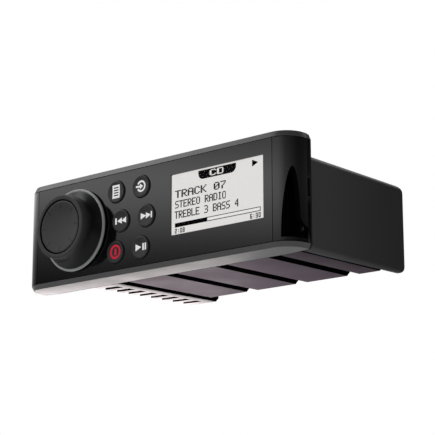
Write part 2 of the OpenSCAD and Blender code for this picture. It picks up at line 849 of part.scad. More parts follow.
module rear_openings() {
  block([power_x - power_w / 2 - socket_wall, rear_in - 1, socket_z - socket_h / 2 - socket_wall],
        [power_x + power_w / 2 + socket_wall, case_d + 1, socket_z + socket_h / 2 + socket_wall]);
  block([speaker_x - speaker_w / 2 - socket_wall, rear_in - 1, socket_z - socket_h / 2 - socket_wall],
        [speaker_x + speaker_w / 2 + socket_wall, case_d + 1, socket_z + socket_h / 2 + socket_wall]);
  rod([antenna_x, socket_z], antenna_r + socket_wall, rear_in - 1, case_d + 1);
  for (s = [-1, 1]) rod([line_x, socket_z + s * line_step / 2], line_r, rear_in - 1, case_d + 1);
  block([fuse_x - fuse_w / 2 - fuse_wall, rear_in - 1, socket_z - fuse_t / 2 - fuse_wall],
        [fuse_x + fuse_w / 2 + fuse_wall, case_d + 1, socket_z + fuse_t / 2 + fuse_wall]);
}

// Ribs of the heat sink from x0 to x1: sloped bottom and chamfered end at depth y
module ribs(x0, x1, y) {
  low = -rib_low + rib_slope;
  along_x(x0, x1) polygon([
    [-gasket_t, -plate_low + eps], [-gasket_t, -rib_low], [y - rib_chamfer, low],
    [y, low + rib_chamfer], [y, -plate_low + eps]]);
}

// Room below the outer rib, whose bottom is an arc in X and Z along a slope
module comb_edge() {
  bottom = arc([comb_right, comb_r], comb_r, 270, 270 - asin(comb_run / comb_r));
  translate([0, -gasket_t, -rib_low]) rotate([comb_slope, 0, 0])
    along_y(-1, far) polygon(concat(
      [[comb_right, -far]], bottom, [[sink_x - 1, comb_rise], [sink_x - 1, -far]]));
}

module heat_sink() {
  color("#6f6870") difference() {
    union() {
      block([sink_x, -gasket_t, -plate_low], [sink_right, sink_d, plate_top]);
      ribs(sink_x, sink_right, sink_d - ledge_lap);
      block([sink_x, sink_d - eps, -plate_low], [comb_right, comb_end, plate_top]);
      ribs(sink_x, comb_right, comb_end);
    }
    for (x = slot_places) translate([x - slot_w / 2, -far, -far]) cube([slot_w, 2 * far, far - plate_low]);
    for (i = [0 : fin_gaps - 1]) translate([sink_x - 1, fin_y + i * fin_step - fin_gap / 2, -far])
      cube([fin_l + 1, fin_gap, far - plate_low]);
    comb_edge();
    for (x = slot_places) translate([x, sink_d - ledge_lap / 2, -far])
      cylinder(r = screw_r + thread_gap, h = 2 * far);
    for (x = [-clamp_x, clamp_x]) translate([chip_at.x + x, chip_at.y, plate_top - blind_d])
      cylinder(r = screw_r + thread_gap, h = plate_t);
  }
}

module chassis_screws() {
  color("#b9bbbd") for (b = bosses) {
    rod(b, chassis_screw_r, back_y - eps, boss_l - 2);
    rod(b, chassis_head_r, back_y - chassis_head_t, back_y);
  }
}

module floor_screws() {
  color("#b9bbbd") for (x = slot_places) translate([x, sink_d - ledge_lap / 2, 0]) {
    translate([0, 0, -plate_low - eps]) cylinder(r = screw_r, h = plate_t + case_wall - 0.4);
    translate([0, 0, -plate_low - head_t]) cylinder(r = small_head_r, h = head_t);
  }
}

module main_board() {
  color("#1f5a36") difference() {
    block([main_left, main_front, main_z], [main_left + main_w, main_front + main_d, main_top]);
    for (x = standoff_x, y = standoff_y) translate([x, y, main_z - 1])
      cylinder(r = screw_r + 2 * thread_gap, h = board_t + 2);
    for (s = [-1, 1]) translate([s * half_w, 0, main_z])
      cube([2 * (main_notch.x + boss_in), 2 * main_notch.y, far], center = true);
  }
}

module board_standoffs() {
  color("#c9a24a") for (x = standoff_x, y = standoff_y) translate([x, y, 0]) difference() {
    translate([0, 0, plate_top]) cylinder(r = standoff_r, h = standoff_h);
    translate([0, 0, plate_top - 1]) cylinder(r = screw_r + thread_gap, h = standoff_h + 2);
  }
}

module main_board_screws() {
  color("#b9bbbd") for (x = standoff_x, y = standoff_y) translate([x, y, 0]) {
    translate([0, 0, plate_top + 1]) cylinder(r = screw_r, h = standoff_h + board_t - 1 + eps);
    translate([0, 0, main_top]) cylinder(r = head_r, h = head_t);
  }
}

// Stiff header that joins the two boards through the throat of the bezel
module board_link() {
  color("#19191b") block([link_x - link_w / 2, board_back_y, main_top],
                         [link_x + link_w / 2, main_front + link_d, main_top + link_h]);
}

module amplifier_chip() {
  color("#1a1a1b") translate([chip_at.x - chip_w / 2, chip_at.y - chip_d / 2, plate_top])
    cube([chip_w, chip_d, chip_h]);
}

// Bar that presses the chip on the heat sink, on two legs with a screw in each
module chip_clamp() {
  reach = chip_w + 2 * clamp_over;
  color("#a9adb0") difference() {
    union() {
      translate([chip_at.x - reach / 2, chip_at.y - clamp_w / 2, plate_top + chip_h])
        cube([reach, clamp_w, clamp_t]);
      for (x = [-clamp_x, clamp_x]) translate([chip_at.x + x, chip_at.y, plate_top])
        cylinder(r = clamp_leg_r, h = chip_h + eps);
    }
    for (x = [-clamp_x, clamp_x]) translate([chip_at.x + x, chip_at.y, plate_top - 1])
      cylinder(r = screw_r + thread_gap, h = chip_h + clamp_t + 2);
  }
}

module clamp_screws() {
  top = plate_top + chip_h + clamp_t;
  low = plate_top - blind_d + thread_gap;
  color("#b9bbbd") for (x = [-clamp_x, clamp_x]) translate([chip_at.x + x, chip_at.y, 0]) {
    translate([0, 0, low]) cylinder(r = screw_r, h = top - low + eps);
    translate([0, 0, top]) cylinder(r = small_head_r, h = small_head_t);
  }
}

module capacitors() {
  color("#20242c") for (i = [0 : cans - 1]) translate([can_first + i * can_step, can_y, main_top])
    cylinder(r = can_r, h = can_h);
}

module choke() {
  color("#7a4a2a") translate([choke_at.x, choke_at.y, main_top]) difference() {
    cylinder(r = choke_r, h = choke_h);
    translate([0, 0, -1]) cylinder(r = choke_hole_r, h = choke_h + 2);
  }
}

module tuner_module() {
  color("#c6c8c9") translate([tuner_at.x - tuner_w / 2, tuner_at.y - tuner_d / 2, main_top])
    cube([tuner_w, tuner_d, tuner_h]);
}

module board_chips() {
  color("#1a1a1b") for (p = board_chip_places)
    translate([p.x - board_chip_w / 2, p.y - board_chip_w / 2, main_top])
      cube([board_chip_w, board_chip_w, board_chip_h]);
}

// Places of the two rows of pins in a socket at x, with n pins in a row
function pins(x, n) = [
  for (i = [0 : n - 1], s = [-1, 1]) [x + (i - (n - 1) / 2) * pin_step, socket_z + s * pin_row_step / 2]];

// Multi-pin socket through the rear wall, with its flange outside and holes for its pins
module multi_socket(x, w, n) {
  half = [w / 2, socket_h / 2];
  shell = half + [socket_wall, socket_wall];
  module frame(grow, y0, y1) {
    block([x - grow.x, y0, socket_z - grow.y], [x + grow.x, y1, socket_z + grow.y]);
  }
  color("#161617") difference() {
    union() {
      frame(shell - [fit_gap, fit_gap], socket_floor - socket_wall, case_d + socket_out);
      frame(shell + [collar, collar], case_d, case_d + collar_len);
    }
    frame(half, socket_floor, case_d + socket_out + 1);
    for (p = pins(x, n)) rod(p, pin_r + thread_gap, socket_floor - far, socket_floor + 1);
  }
}

module power_socket() {
  multi_socket(power_x, power_w, power_pins);
}

module speaker_socket() {
  multi_socket(speaker_x, speaker_w, speaker_pins);
}

module socket_pins() {
  color("#c9a24a") for (p = concat(pins(power_x, power_pins), pins(speaker_x, speaker_pins)))
    rod(p, pin_r, socket_floor - socket_wall - pin_in, socket_floor + pin_out);
}

module antenna_socket() {
  at = [antenna_x, socket_z];
  top = case_d + socket_out;
  color("#b5b7b8") difference() {
    union() {
      rod(at, antenna_r + socket_wall - fit_gap, top - antenna_l - socket_wall, top);
      rod(at, antenna_r + socket_wall + collar, case_d, case_d + collar_len);
    }
    rod(at, antenna_r, top - antenna_l, top + 1);
  }
}

module line_out_sockets() {
  color("#c9a24a") for (s = [-1, 1]) difference() {
    at = [line_x, socket_z + s * line_step / 2];
    union() {
      rod(at, line_r - fit_gap, rear_in - line_in, case_d + line_out);
      rod(at, line_r + line_collar, case_d, case_d + collar_len);
    }
    rod(at, line_bore_r, rear_in, case_d + line_out + 1);
  }
}

// Box through the rear wall that holds the blade fuse
module fuse_holder() {
  half = [fuse_w / 2, fuse_t / 2];
  shell = half + [fuse_wall, fuse_wall];
  module frame(grow, y0, y1) {
    block([fuse_x - grow.x, y0, socket_z - grow.y], [fuse_x + grow.x, y1, socket_z + grow.y]);
  }
  color("#161617") difference() {
    union() {
      frame(shell - [fit_gap, fit_gap], fuse_in, case_d + fuse_rim_t);
      frame(shell + [fuse_rim, fuse_rim], case_d, case_d + fuse_rim_t);
    }
    frame(half, fuse_in + fuse_wall, case_d + fuse_rim_t + 1);
  }
}

module fuse() {
  half = [fuse_w / 2 - fuse_gap, fuse_body_t / 2];
  color("#c2543a") block([fuse_x - half.x, fuse_in + fuse_wall, socket_z - half.y],
                         [fuse_x + half.x, case_d + fuse_rim_t + fuse_grip, socket_z + half.y]);
}

front_bezel();
face_panel();
end_cover_left();
end_cover_right();
panel_gasket();
display_lens();
lcd_glass();
lcd_backlight();
lcd_holder();
control_board();
board_screws();
tact_switches();
keypad_mat();
button_menu();
button_source();
button_previous();
button_next();
button_power();
button_play();
encoder_body();
encoder_bush();
encoder_washer();
encoder_nut();
encoder_plunger();
encoder_shaft();
shaft_clip();
knob_body();
knob_cap();
knob_ring();
case_shell();
heat_sink();
chassis_screws();
floor_screws();
main_board();
board_standoffs();
main_board_screws();
board_link();
amplifier_chip();
chip_clamp();
clamp_screws();
capacitors();
choke();
tuner_module();
board_chips();
power_socket();
speaker_socket();
socket_pins();
antenna_socket();
line_out_sockets();
fuse_holder();
fuse();
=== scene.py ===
import math

import bmesh
import bpy
import numpy as np
from mathutils import Matrix, Vector


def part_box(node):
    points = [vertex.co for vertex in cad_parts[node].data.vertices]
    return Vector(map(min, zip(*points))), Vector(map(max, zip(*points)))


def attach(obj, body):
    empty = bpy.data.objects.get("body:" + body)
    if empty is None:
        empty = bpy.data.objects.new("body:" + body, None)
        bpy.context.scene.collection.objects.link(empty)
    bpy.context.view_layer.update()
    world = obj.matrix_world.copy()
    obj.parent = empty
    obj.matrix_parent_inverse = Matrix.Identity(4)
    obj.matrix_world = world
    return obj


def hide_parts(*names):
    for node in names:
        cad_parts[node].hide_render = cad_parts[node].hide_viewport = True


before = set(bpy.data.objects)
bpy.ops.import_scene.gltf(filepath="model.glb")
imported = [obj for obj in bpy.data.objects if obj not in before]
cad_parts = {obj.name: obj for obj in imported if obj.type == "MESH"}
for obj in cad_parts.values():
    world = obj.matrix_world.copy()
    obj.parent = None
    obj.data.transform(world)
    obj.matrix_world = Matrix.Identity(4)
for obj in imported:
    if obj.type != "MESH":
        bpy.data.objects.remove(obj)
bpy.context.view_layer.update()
MM = 0.001

# Heat sink: the die-cast floor of the chassis, with broad ribs, open slots and a comb of fins at its left
# edge. It is cast in aluminium and painted black, its rib faces are milled, and screws hold it from below.


def linear(hex_colour):
    """sRGB hex to linear colour: c / 12.92 up to 0.04045, and ((c + 0.055) / 1.055) to the power 2.4
    above it."""
    c = np.array([int(hex_colour[i:i + 2], 16) for i in (1, 3, 5)]) / 255
    return (*np.where(c <= 0.04045, c / 12.92, ((c + 0.055) / 1.055) ** 2.4).tolist(), 1.0)


def put(tree, kind, inputs=None, links=None, **properties):
    """Adds a node, with its properties, its socket values and its links, each from (node, output)."""
    node = tree.nodes.new(kind)
    for key, value in properties.items():
        setattr(node, key, value)
    for key, value in (inputs or {}).items():
        node.inputs[key].default_value = value
    for key, (source, output) in (links or {}).items():
        tree.links.new(source.outputs[output], node.inputs[key])
    return node


# Cloudy patches of a surface are this many grains wide, and most of their noise lies between these levels.
CLOUD_GRAINS = 30
CLOUD_LOW, CLOUD_HIGH = 0.3, 0.7


def grained(name, pale, dark, roughness, grain, depth, swing=0.04, fade=None, follow=(), **sockets):
    """A surface with a fine grain that lifts it by depth, and with cloudy patches that blend its two
    colours and swing its roughness about the middle value. A fade blends the colours along an axis
    instead, from dark at its first place there to pale at its second, and the sockets that follow it
    grow with it."""
    material = bpy.data.materials.new(name)
    material.use_nodes = True
    tree = material.node_tree
    tree.nodes.clear()
    place = put(tree, "ShaderNodeTexCoord")
    here = {"Vector": (place, "Object")}
    fine = put(tree, "ShaderNodeTexNoise", {"Scale": 1 / grain, "Detail": 3}, here)
    cloud = put(tree, "ShaderNodeTexNoise", {"Scale": 1 / (CLOUD_GRAINS * grain), "Detail": 2}, here)
    share = (cloud, "Fac")
    if fade:
        axis, dark_place, pale_place = fade
        split = put(tree, "ShaderNodeSeparateXYZ", links=here)
        ramp = put(tree, "ShaderNodeMapRange", {"From Min": dark_place, "From Max": pale_place},
                   {"Value": (split, axis)}, interpolation_type="SMOOTHSTEP")
        share = (ramp, "Result")
    tint = put(tree, "ShaderNodeMix", {6: linear(dark), 7: linear(pale)}, {0: share}, data_type="RGBA")
    rough = put(tree, "ShaderNodeMapRange", {"From Min": CLOUD_LOW, "From Max": CLOUD_HIGH,
                                             "To Min": roughness - swing, "To Max": roughness + swing},
                {"Value": (cloud, "Fac")})
    lift = put(tree, "ShaderNodeBump", {"Distance": depth}, {"Height": (fine, "Fac")})
    links = {"Base Color": (tint, 2), "Roughness": (rough, "Result"), "Normal": (lift, "Normal")}
    for key in follow:
        grown = put(tree, "ShaderNodeMath", {1: sockets[key]}, {0: share}, operation="MULTIPLY")
        links[key] = (grown, "Value")
    shader = put(tree, "ShaderNodeBsdfPrincipled", sockets, links)
    put(tree, "ShaderNodeOutputMaterial", links={"Surface": (shader, "BSDF")})
    return material


# Points of a drawn mesh that are closer than this are one.
SEAM = 1e-7


def shown(name, mesh, sharp=40):
    """Welds a mesh, turns its faces outwards, shades it smooth up to the sharp angle, in degrees, and
    puts it in the scene."""
    skin = bmesh.new()
    skin.from_mesh(mesh)
    bmesh.ops.remove_doubles(skin, verts=skin.verts, dist=SEAM)
    bmesh.ops.recalc_face_normals(skin, faces=skin.faces)
    skin.to_mesh(mesh)
    skin.free()
    mesh.shade_smooth()
    mesh.set_sharp_from_angle(angle=math.radians(sharp))
    piece = bpy.data.objects.new(name, mesh)
    bpy.context.scene.collection.objects.link(piece)
    return piece


# Points of a CAD node that are closer than this are one, faces that meet flatter than the first angle are
# one, and edges sharper than the second are eased.
WELD = 2e-6
FLAT_ANGLE, EDGE_ANGLE = math.radians(0.4), math.radians(35)


def eased(node, name, width):
    """A copy of a CAD node as one skin: triangles in one plane become one face, and each sharp edge is
    rounded off over width."""
    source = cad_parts[node].data
    points = np.empty(3 * len(source.vertices))
    source.vertices.foreach_get("co", points)
    corners = np.empty(len(source.loops), int)
    source.loops.foreach_get("vertex_index", corners)
    mesh = bpy.data.meshes.new(name)
    mesh.from_pydata(points.reshape(-1, 3).tolist(), [], corners.reshape(-1, 3).tolist())
    skin = bmesh.new()
    skin.from_mesh(mesh)
    bmesh.ops.remove_doubles(skin, verts=skin.verts, dist=WELD)
    bmesh.ops.dissolve_degenerate(skin, edges=skin.edges, dist=WELD / 2)
    bmesh.ops.dissolve_limit(skin, angle_limit=FLAT_ANGLE, verts=skin.verts, edges=skin.edges)
    skin.to_mesh(mesh)
    skin.free()
    mesh.shade_smooth()
    piece = bpy.data.objects.new(name, mesh)
    bpy.context.scene.collection.objects.link(piece)
    bevel = piece.modifiers.new("eased edges", "BEVEL")
    bevel.width = width
    bevel.segments = 2
    bevel.limit_method = "ANGLE"
    bevel.angle_limit = EDGE_ANGLE
    bevel.harden_normals = True
    bevel.use_clamp_overlap = True
    return piece


def fitted(piece, body, slot, material, *nodes):
    """Gives a piece its material, lets it ride on a body and hides the CAD nodes it stands for. The slot is not
    used.
    """
    piece.data.materials.clear()
    piece.data.materials.append(material)
    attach(piece, body)
    if nodes:
        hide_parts(*nodes)
    return piece


def faces_of(piece):
    """Centres and normals of a piece's faces, as rows of two arrays."""
    faces = piece.data.polygons
    centres, normals = np.empty(3 * len(faces)), np.empty(3 * len(faces))
    faces.foreach_get("center", centres)
    faces.foreach_get("normal", normals)
    return centres.reshape(-1, 3), normals.reshape(-1, 3)


def toned(piece, *tones):
    """Gives faces of a piece further materials: each tone is a material and the faces chosen for it, and
    a later tone covers an earlier one."""
    index = np.zeros(len(piece.data.polygons), np.int32)
    for place, (material, chosen) in enumerate(tones, 1):
        piece.data.materials.append(material)
        index[chosen] = place
    piece.data.polygons.foreach_set("material_index", index)


SHEEN = "Specular IOR Level"
MATT = {SHEEN: 0.0}
# Black paint of the casting: dead matt, with the cast skin of about 0.8 mm under it.
sink_paint = grained("matt black paint", "#0b0b0c", "#070708",
                     roughness=0.6, grain=0.8 * MM, depth=0.02 * MM,
                     **MATT)
# Rib faces milled flat and then covered with a thin mauve-grey conversion coat: dull and soft at low angles.
# Painted shade darkens their colour and sheen towards the right end.
RIB_SHADED_X, RIB_LIT_X = 100 * MM, 30 * MM
bare_ribs = grained("coated cast aluminium", "#5d465c", "#30252f",
                    roughness=0.5, grain=0.8 * MM, depth=0.03 * MM,
                    fade=("X", RIB_SHADED_X, RIB_LIT_X), follow=(SHEEN,), **{SHEEN: 0.2})
# Bottom of the comb: a painted highlight, with more metal and sheen, brightens it towards its teeth, where it
# takes on the white of the room at low angles, and painted shade darkens it along the slot.
COMB_SHADED_X, COMB_GLARE_X = -36.5 * MM, -58 * MM
bright_comb = grained("cast aluminium with painted highlight and shade", "#6f656c", "#1c181b",
                      roughness=0.3, grain=0.8 * MM, depth=0.02 * MM,
                      fade=("X", COMB_SHADED_X, COMB_GLARE_X), follow=("Metallic", SHEEN),
                      **{"Metallic": 0.6, SHEEN: 0.5})
# Faces that look down below this height are milled, and those to the left of the comb's slot carry the comb's
# painted highlight and shade.
RIB_FACE_Z, LOOKS_DOWN = -24 * MM, -0.7
COMB_X = -36 * MM
casting = eased("heat_sink", "sink_casting", width=0.6 * MM)
fitted(casting, "chassis", "cast_metal", sink_paint, "heat_sink")
# The eased edges take the black paint too, which widens the dark bands of the slots: painted shade.
casting.modifiers["eased edges"].material = 0
centres, normals = faces_of(casting)
below = (normals[:, 2] < LOOKS_DOWN) & (centres[:, 2] < RIB_FACE_Z)
toned(casting, (bare_ribs, below), (bright_comb, below & (centres[:, 0] < COMB_X)))


def painted(material, *nodes):
    """Gives CAD nodes that stay as they are a finished material."""
    for node in nodes:
        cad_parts[node].data.materials.clear()
        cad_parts[node].data.materials.append(material)


# Zinc-plated steel: bright but not mirror-like, with faint turning marks from the screw machine.
zinc_steel = grained("zinc plated steel", "#c9cccf", "#a9acae",
                     roughness=0.3, grain=0.4 * MM, depth=0.01 * MM, Metallic=1.0)
painted(zinc_steel, "floor_screws")

# Case: the black box behind the panel, injection moulded in glass-filled nylon with rounded long edges and
# a step and a recess in its floor for the heat sink. Four screws through the bezel's back wall hold it.

# Moulded nylon with a spark-eroded texture, with painted shade that darkens it towards the rear: the real grain
# of 0.1 mm is too fine to show, so it is drawn at 0.5 mm.
CASE_SHADED_Y, CASE_LIT_Y = 85 * MM, 0.0
case_nylon = grained("textured black nylon", "#4a4a4c", "#343436",
                     roughness=0.42, grain=0.5 * MM, depth=0.008 * MM,
                     fade=("Y", CASE_SHADED_Y, CASE_LIT_Y), **{SHEEN: 0.4})
case_box = eased("case_shell", "case_box", width=0.6 * MM)
fitted(case_box, "chassis", "case_plastic", case_nylon, "case_shell")
painted(zinc_steel, "chassis_screws")

# Main board and its parts: a green circuit board on brass standoffs over the heat sink, with the amplifier
# chip clamped to the casting below it, and three capacitors, a wound choke, a tin tuner can and three flat
# chips on top.

# Solder mask over copper: glossy green, a little mottled by the tracks below it.
solder_mask = grained("green solder mask", "#246b3f", "#1a5231",
                      roughness=0.3, grain=0.6 * MM, depth=0.01 * MM)
# Turned brass, plated: warm and fairly bright.
turned_brass = grained("plated brass", "#d8b45c", "#c09a45",
                       roughness=0.28, grain=0.4 * MM, depth=0.008 * MM, Metallic=1.0)
# Moulded epoxy of chip bodies: flat black with a fine matt skin.
epoxy = grained("black epoxy", "#1f1f20", "#17171a", roughness=0.6, grain=0.3 * MM, depth=0.01 * MM)
# Heat-shrunk sleeve of the capacitors: dark blue-black and glossy.
sleeve = grained("shrink sleeve", "#262b35", "#1c2028", roughness=0.25, grain=0.8 * MM, depth=0.01 * MM)
# Enamelled copper wire of the choke: bronze, with the ridges of its turns too fine to draw one by one.
enamel_wire = grained("enamelled copper", "#a8622f", "#7a4522",
                      roughness=0.35, grain=0.7 * MM, depth=0.15 * MM, Metallic=0.8)
# Tin-plated sheet steel: pale and smooth with a soft sheen.
tin_plate = grained("tin plate", "#cfd1d2", "#bcbfc0",
                    roughness=0.33, grain=1.2 * MM, depth=0.008 * MM, Metallic=1.0)
# Black moulded plastic of the small inner pieces.
inner_moulding = grained("black moulded plastic", "#1d1d1f", "#161618",
                         roughness=0.5, grain=0.4 * MM, depth=0.01 * MM)
painted(solder_mask, "main_board")
painted(turned_brass, "board_standoffs")
painted(zinc_steel, "main_board_screws", "chip_clamp", "clamp_screws")
painted(epoxy, "amplifier_chip", "board_chips")
painted(sleeve, "capacitors")
painted(enamel_wire, "choke")
painted(tin_plate, "tuner_module")
painted(inner_moulding, "board_link")

# Rear sockets: black moulded power and speaker sockets with brass pins, a tin antenna socket, two gilt
# line-out sockets and a blade fuse in its holder. They pass through the rear wall and their collars sit
# against it.

# Black moulded sockets: satin, with the flow marks of a quick moulding.
socket_moulding = grained("black socket moulding", "#1b1b1c", "#141415",
                          roughness=0.42, grain=0.5 * MM, depth=0.012 * MM)
# Tinted polycarbonate of the blade fuse: warm red and glossy.
fuse_tint = grained("tinted polycarbonate", "#c85a3c", "#b34a30",
                    roughness=0.2, grain=1.0 * MM, depth=0.006 * MM)
moulded = {"power_socket": "power_shell", "speaker_socket": "speaker_shell", "fuse_holder": "fuse_box"}
for node, name in moulded.items():
    fitted(eased(node, name, width=0.25 * MM), "chassis", "socket_plastic", socket_moulding, node)
fitted(eased("fuse", "fuse_blade", width=0.3 * MM), "chassis", "fuse_plastic", fuse_tint, "fuse")
painted(turned_brass, "socket_pins")
antenna = eased("antenna_socket", "antenna_shell", width=0.2 * MM)
fitted(antenna, "chassis", "tin_plate", tin_plate, "antenna_socket")
line_outs = eased("line_out_sockets", "line_shells", width=0.2 * MM)
fitted(line_outs, "chassis", "contact_brass", turned_brass, "line_out_sockets")

# Gasket: a frame of black closed-cell foam behind the bezel, which seals the front against the boat's
# panel. It is die-cut from sheet and glued to the back wall.

# Closed-cell foam: deep black and matt, with a cell size of about 0.4 mm.
foam = grained("closed-cell foam", "#131314", "#0c0c0d", roughness=0.85, grain=0.4 * MM, depth=0.05 * MM)
foam_seal = eased("panel_gasket", "foam_seal", width=0.15 * MM)
fitted(foam_seal, "chassis", "gasket_foam", foam, "panel_gasket")

# Bezel: the moulded frame of the front, with a chamfered rail along its top and bottom and a back wall that
# the case is screwed to. It is one piece of dark grey ABS, satin where the rails show.

# Satin ABS: charcoal, with a soft shine at low angles. Its real grain is drawn at 0.6 mm.
satin_abs = grained("satin charcoal ABS", "#606062", "#58585a",
                    roughness=0.33, grain=0.6 * MM, depth=0.006 * MM)
# Inside of the mouldings, behind the covers: unpainted, matt and black. The same matt black is painted shade in
# the scoop of the right cover and in the gap around the knob's cap.
black_inside_and_shade = grained("unpainted black ABS and painted recess shade", "#060607", "#040405",
                       roughness=0.7, grain=0.6 * MM, depth=0.006 * MM,
                       **{SHEEN: 0.05})
INSIDE_Z = 24.8 * MM
bezel = eased("front_bezel", "bezel_frame", width=0.3 * MM)
fitted(bezel, "chassis", "bezel_plastic", satin_abs, "front_bezel")
bezel_centres, bezel_normals = faces_of(bezel)
# Top rail: the same plastic, with painted shade that darkens its colour and sheen towards its right end.
RAIL_SHADED_X, RAIL_LIT_X = 180 * MM, -10 * MM
top_abs = grained("satin charcoal ABS of the top rail", "#5d5d5f", "#3a3a3c",
                  roughness=0.33, grain=0.6 * MM, depth=0.006 * MM,
                  fade=("X", RAIL_SHADED_X, RAIL_LIT_X), follow=(SHEEN,), **{SHEEN: 0.5})
top_rail = (bezel_centres[:, 2] > INSIDE_Z) & (bezel_normals[:, 2] > 0)

# Control board behind the panel: it carries the six key switches, the encoder of the knob and the display. A
# silicone mat lies over it between the keys, and five screws pull it against the panel's posts.

# Silicone rubber: dark grey and matt with a dusty bloom.
silicone = grained("grey silicone", "#404044", "#36363a", roughness=0.75, grain=0.7 * MM, depth=0.01 * MM)
# Machined and nickel-plated steel of the encoder.
nickel = grained("nickel plated steel", "#a9abad", "#909294",
                 roughness=0.32, grain=0.4 * MM, depth=0.01 * MM, Metallic=1.0)
painted(solder_mask, "control_board")
painted(zinc_steel, "board_screws", "encoder_washer", "encoder_nut", "shaft_clip")
painted(inner_moulding, "tact_switches", "lcd_holder")
painted(silicone, "keypad_mat")
painted(nickel, "encoder_body", "encoder_bush", "encoder_plunger", "encoder_shaft")

# Face panel: a flat gloss panel between the rails, with openings for the display, the keys and the knob. It is
# moulded in a polished tool, so it mirrors the studio softly.

# Polished dark acrylic: nearly black in itself, and what it shows is mostly the reflection in its surface.
polished = grained("polished dark acrylic", "#0d0d0e", "#0b0b0c",
                   roughness=0.07, grain=3.0 * MM, depth=0.0003 * MM, swing=0.01)
face_plate = eased("face_panel", "face_plate", width=0.22 * MM)
fitted(face_plate, "chassis", "face_plastic", polished, "face_panel")
FACE_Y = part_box("face_panel")[0].y
# The ends of the bezel's back wall carry on the polish of the covers, and the rest inside stays black.
POLISHED_END = 0.4 * MM
inside = np.abs(bezel_centres[:, 2]) < INSIDE_Z
wall_end = np.abs(bezel_centres[:, 0]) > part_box("front_bezel")[1].x - POLISHED_END
toned(bezel, (black_inside_and_shade, inside), (polished, inside & wall_end), (top_abs, top_rail))

# End covers: curved caps that clip over both ends and hide the mounting screws. The right one has an arched
# thumb scoop that opens to the back, so that the cap can be pulled off. Outside they are as polished as the
# panel, and faces that look elsewhere than straight out of the curve are matt black: unpainted inside, and
# painted shade in the scoop.
END_R, STRAIGHT_OUT = 11.75 * MM, 0.9
cover_x, cover_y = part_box("front_bezel")[1].x - END_R, FACE_Y + END_R
for node, name in (("end_cover_left", "left_cap"), ("end_cover_right", "right_cap")):
    end_cap = eased(node, name, width=0.25 * MM)
    fitted(end_cap, "chassis", "bezel_plastic", polished, node)
    centres, normals = faces_of(end_cap)
    out = np.stack([np.abs(centres[:, 0]) - cover_x, centres[:, 1] - cover_y], -1)
    facing = np.stack([normals[:, 0] * np.sign(centres[:, 0]), normals[:, 1]], -1)
    toned(end_cap, (black_inside_and_shade, (out * facing).sum(1) < STRAIGHT_OUT * np.linalg.norm(out, axis=1)))

# Display: a clear hard-coated window over a pale, back-lit liquid-crystal layer, whose dark segments show a
# source tab, three lines of words, a progress bar and two times. The words are generic.


def lofted(name, rings, closed=False):
    """A skin through rings of points: each ring joins the next all the way round. Open ends are capped flat,
    and closed joins the last ring to the first."""
    k, n, _ = rings.shape
    row = np.arange(k if closed else k - 1)[:, None] * n
    after = (row + n) % (k * n)
    here, right = np.arange(n)[None, :], (np.arange(n)[None, :] + 1) % n
    quads = np.stack([row + here, row + right, after + right, after + here], -1).reshape(-1, 4)
    caps = [] if closed else [list(range(n)), list(range((k - 1) * n, k * n))]
    mesh = bpy.data.meshes.new(name)
    mesh.from_pydata(rings.reshape(-1, 3).tolist(), [], quads.tolist() + caps)
    return shown(name, mesh)


PLATE_STEPS = 32
LEAST_CORNER = 0.2


def plate(name, lo, hi, front, back, corners, edge):
    """A flat plate with rounded corners and eased edges: its outline is four quarter circles, whose radius
    is the first of corners above and the second below, and four rings of it, drawn in by edge at the first
    and last but to no less than a share of the corner, run from front to back."""
    turn = np.linspace(0, 2 * np.pi, PLATE_STEPS, endpoint=False) + np.pi / PLATE_STEPS
    middle, half = (np.array(lo) + hi) / 2, (np.array(hi) - lo) / 2
    wave = np.stack([np.cos(turn), np.sin(turn)], -1)
    corner = np.where(wave[:, 1:] > 0, *corners)
    centre = middle + np.sign(wave) * (half - corner)
    outline = centre + wave * corner
    drawn_in = centre + wave * np.maximum(corner - edge, LEAST_CORNER * corner)
    flat = np.stack([drawn_in, outline, outline, drawn_in])
    depth = np.array([front, front + edge, back - edge, back])[:, None] * np.ones((1, len(turn)))
    return lofted(name, np.stack([flat[..., 0], depth, flat[..., 1]], -1))


LENS_LEDGE = 1.5 * MM
WINDOW_IN = 0.1 * MM
lens_lo, lens_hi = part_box("display_lens")
window_lo = np.array([lens_lo.x, lens_lo.z]) + LENS_LEDGE
window_hi = np.array([lens_hi.x, lens_hi.z]) - LENS_LEDGE
window_size = window_hi - window_lo
COVER_FRONT = FACE_Y + 0.15 * MM
COVER_BACK = FACE_Y + 0.45 * MM
LAYER_FRONT = FACE_Y + 0.55 * MM
PRINT_Y = FACE_Y + 0.53 * MM


def clear_window():
    """Hard-coated acrylic: clear, with a mirror on its surface that grows as the fifth power of the slant."""
    material = bpy.data.materials.new("hard-coated clear acrylic")
    material.use_nodes = True
    tree = material.node_tree
    tree.nodes.clear()
    slant = put(tree, "ShaderNodeLayerWeight", {"Blend": 0.5})
    edge_on = put(tree, "ShaderNodeMath", {1: 5.0}, {0: (slant, "Facing")}, operation="POWER")
    through = put(tree, "ShaderNodeBsdfTransparent", {"Color": linear("#ffffff")})
    mirror = put(tree, "ShaderNodeBsdfGlossy", {"Color": linear("#ffffff"), "Roughness": 0.05})
    mix = put(tree, "ShaderNodeMixShader",
              links={0: (edge_on, "Value"), 1: (through, "BSDF"), 2: (mirror, "BSDF")})
    put(tree, "ShaderNodeOutputMaterial", links={"Surface": (mix, "Shader")})
    return material


def glow(hex_colour, strength):
    """Sockets of a surface that is lit from behind in a colour."""
    return {"Emission Color": linear(hex_colour), "Emission Strength": strength}


# Liquid-crystal layer with a white light guide behind it: pale grey, and it glows a little.
lcd_pale = grained("back-lit display layer", "#8e8e8c", "#878785",
                   roughness=0.6, grain=4.0 * MM, depth=0.0005 * MM,
                   **MATT, **glow("#fffdfb", 0.62))
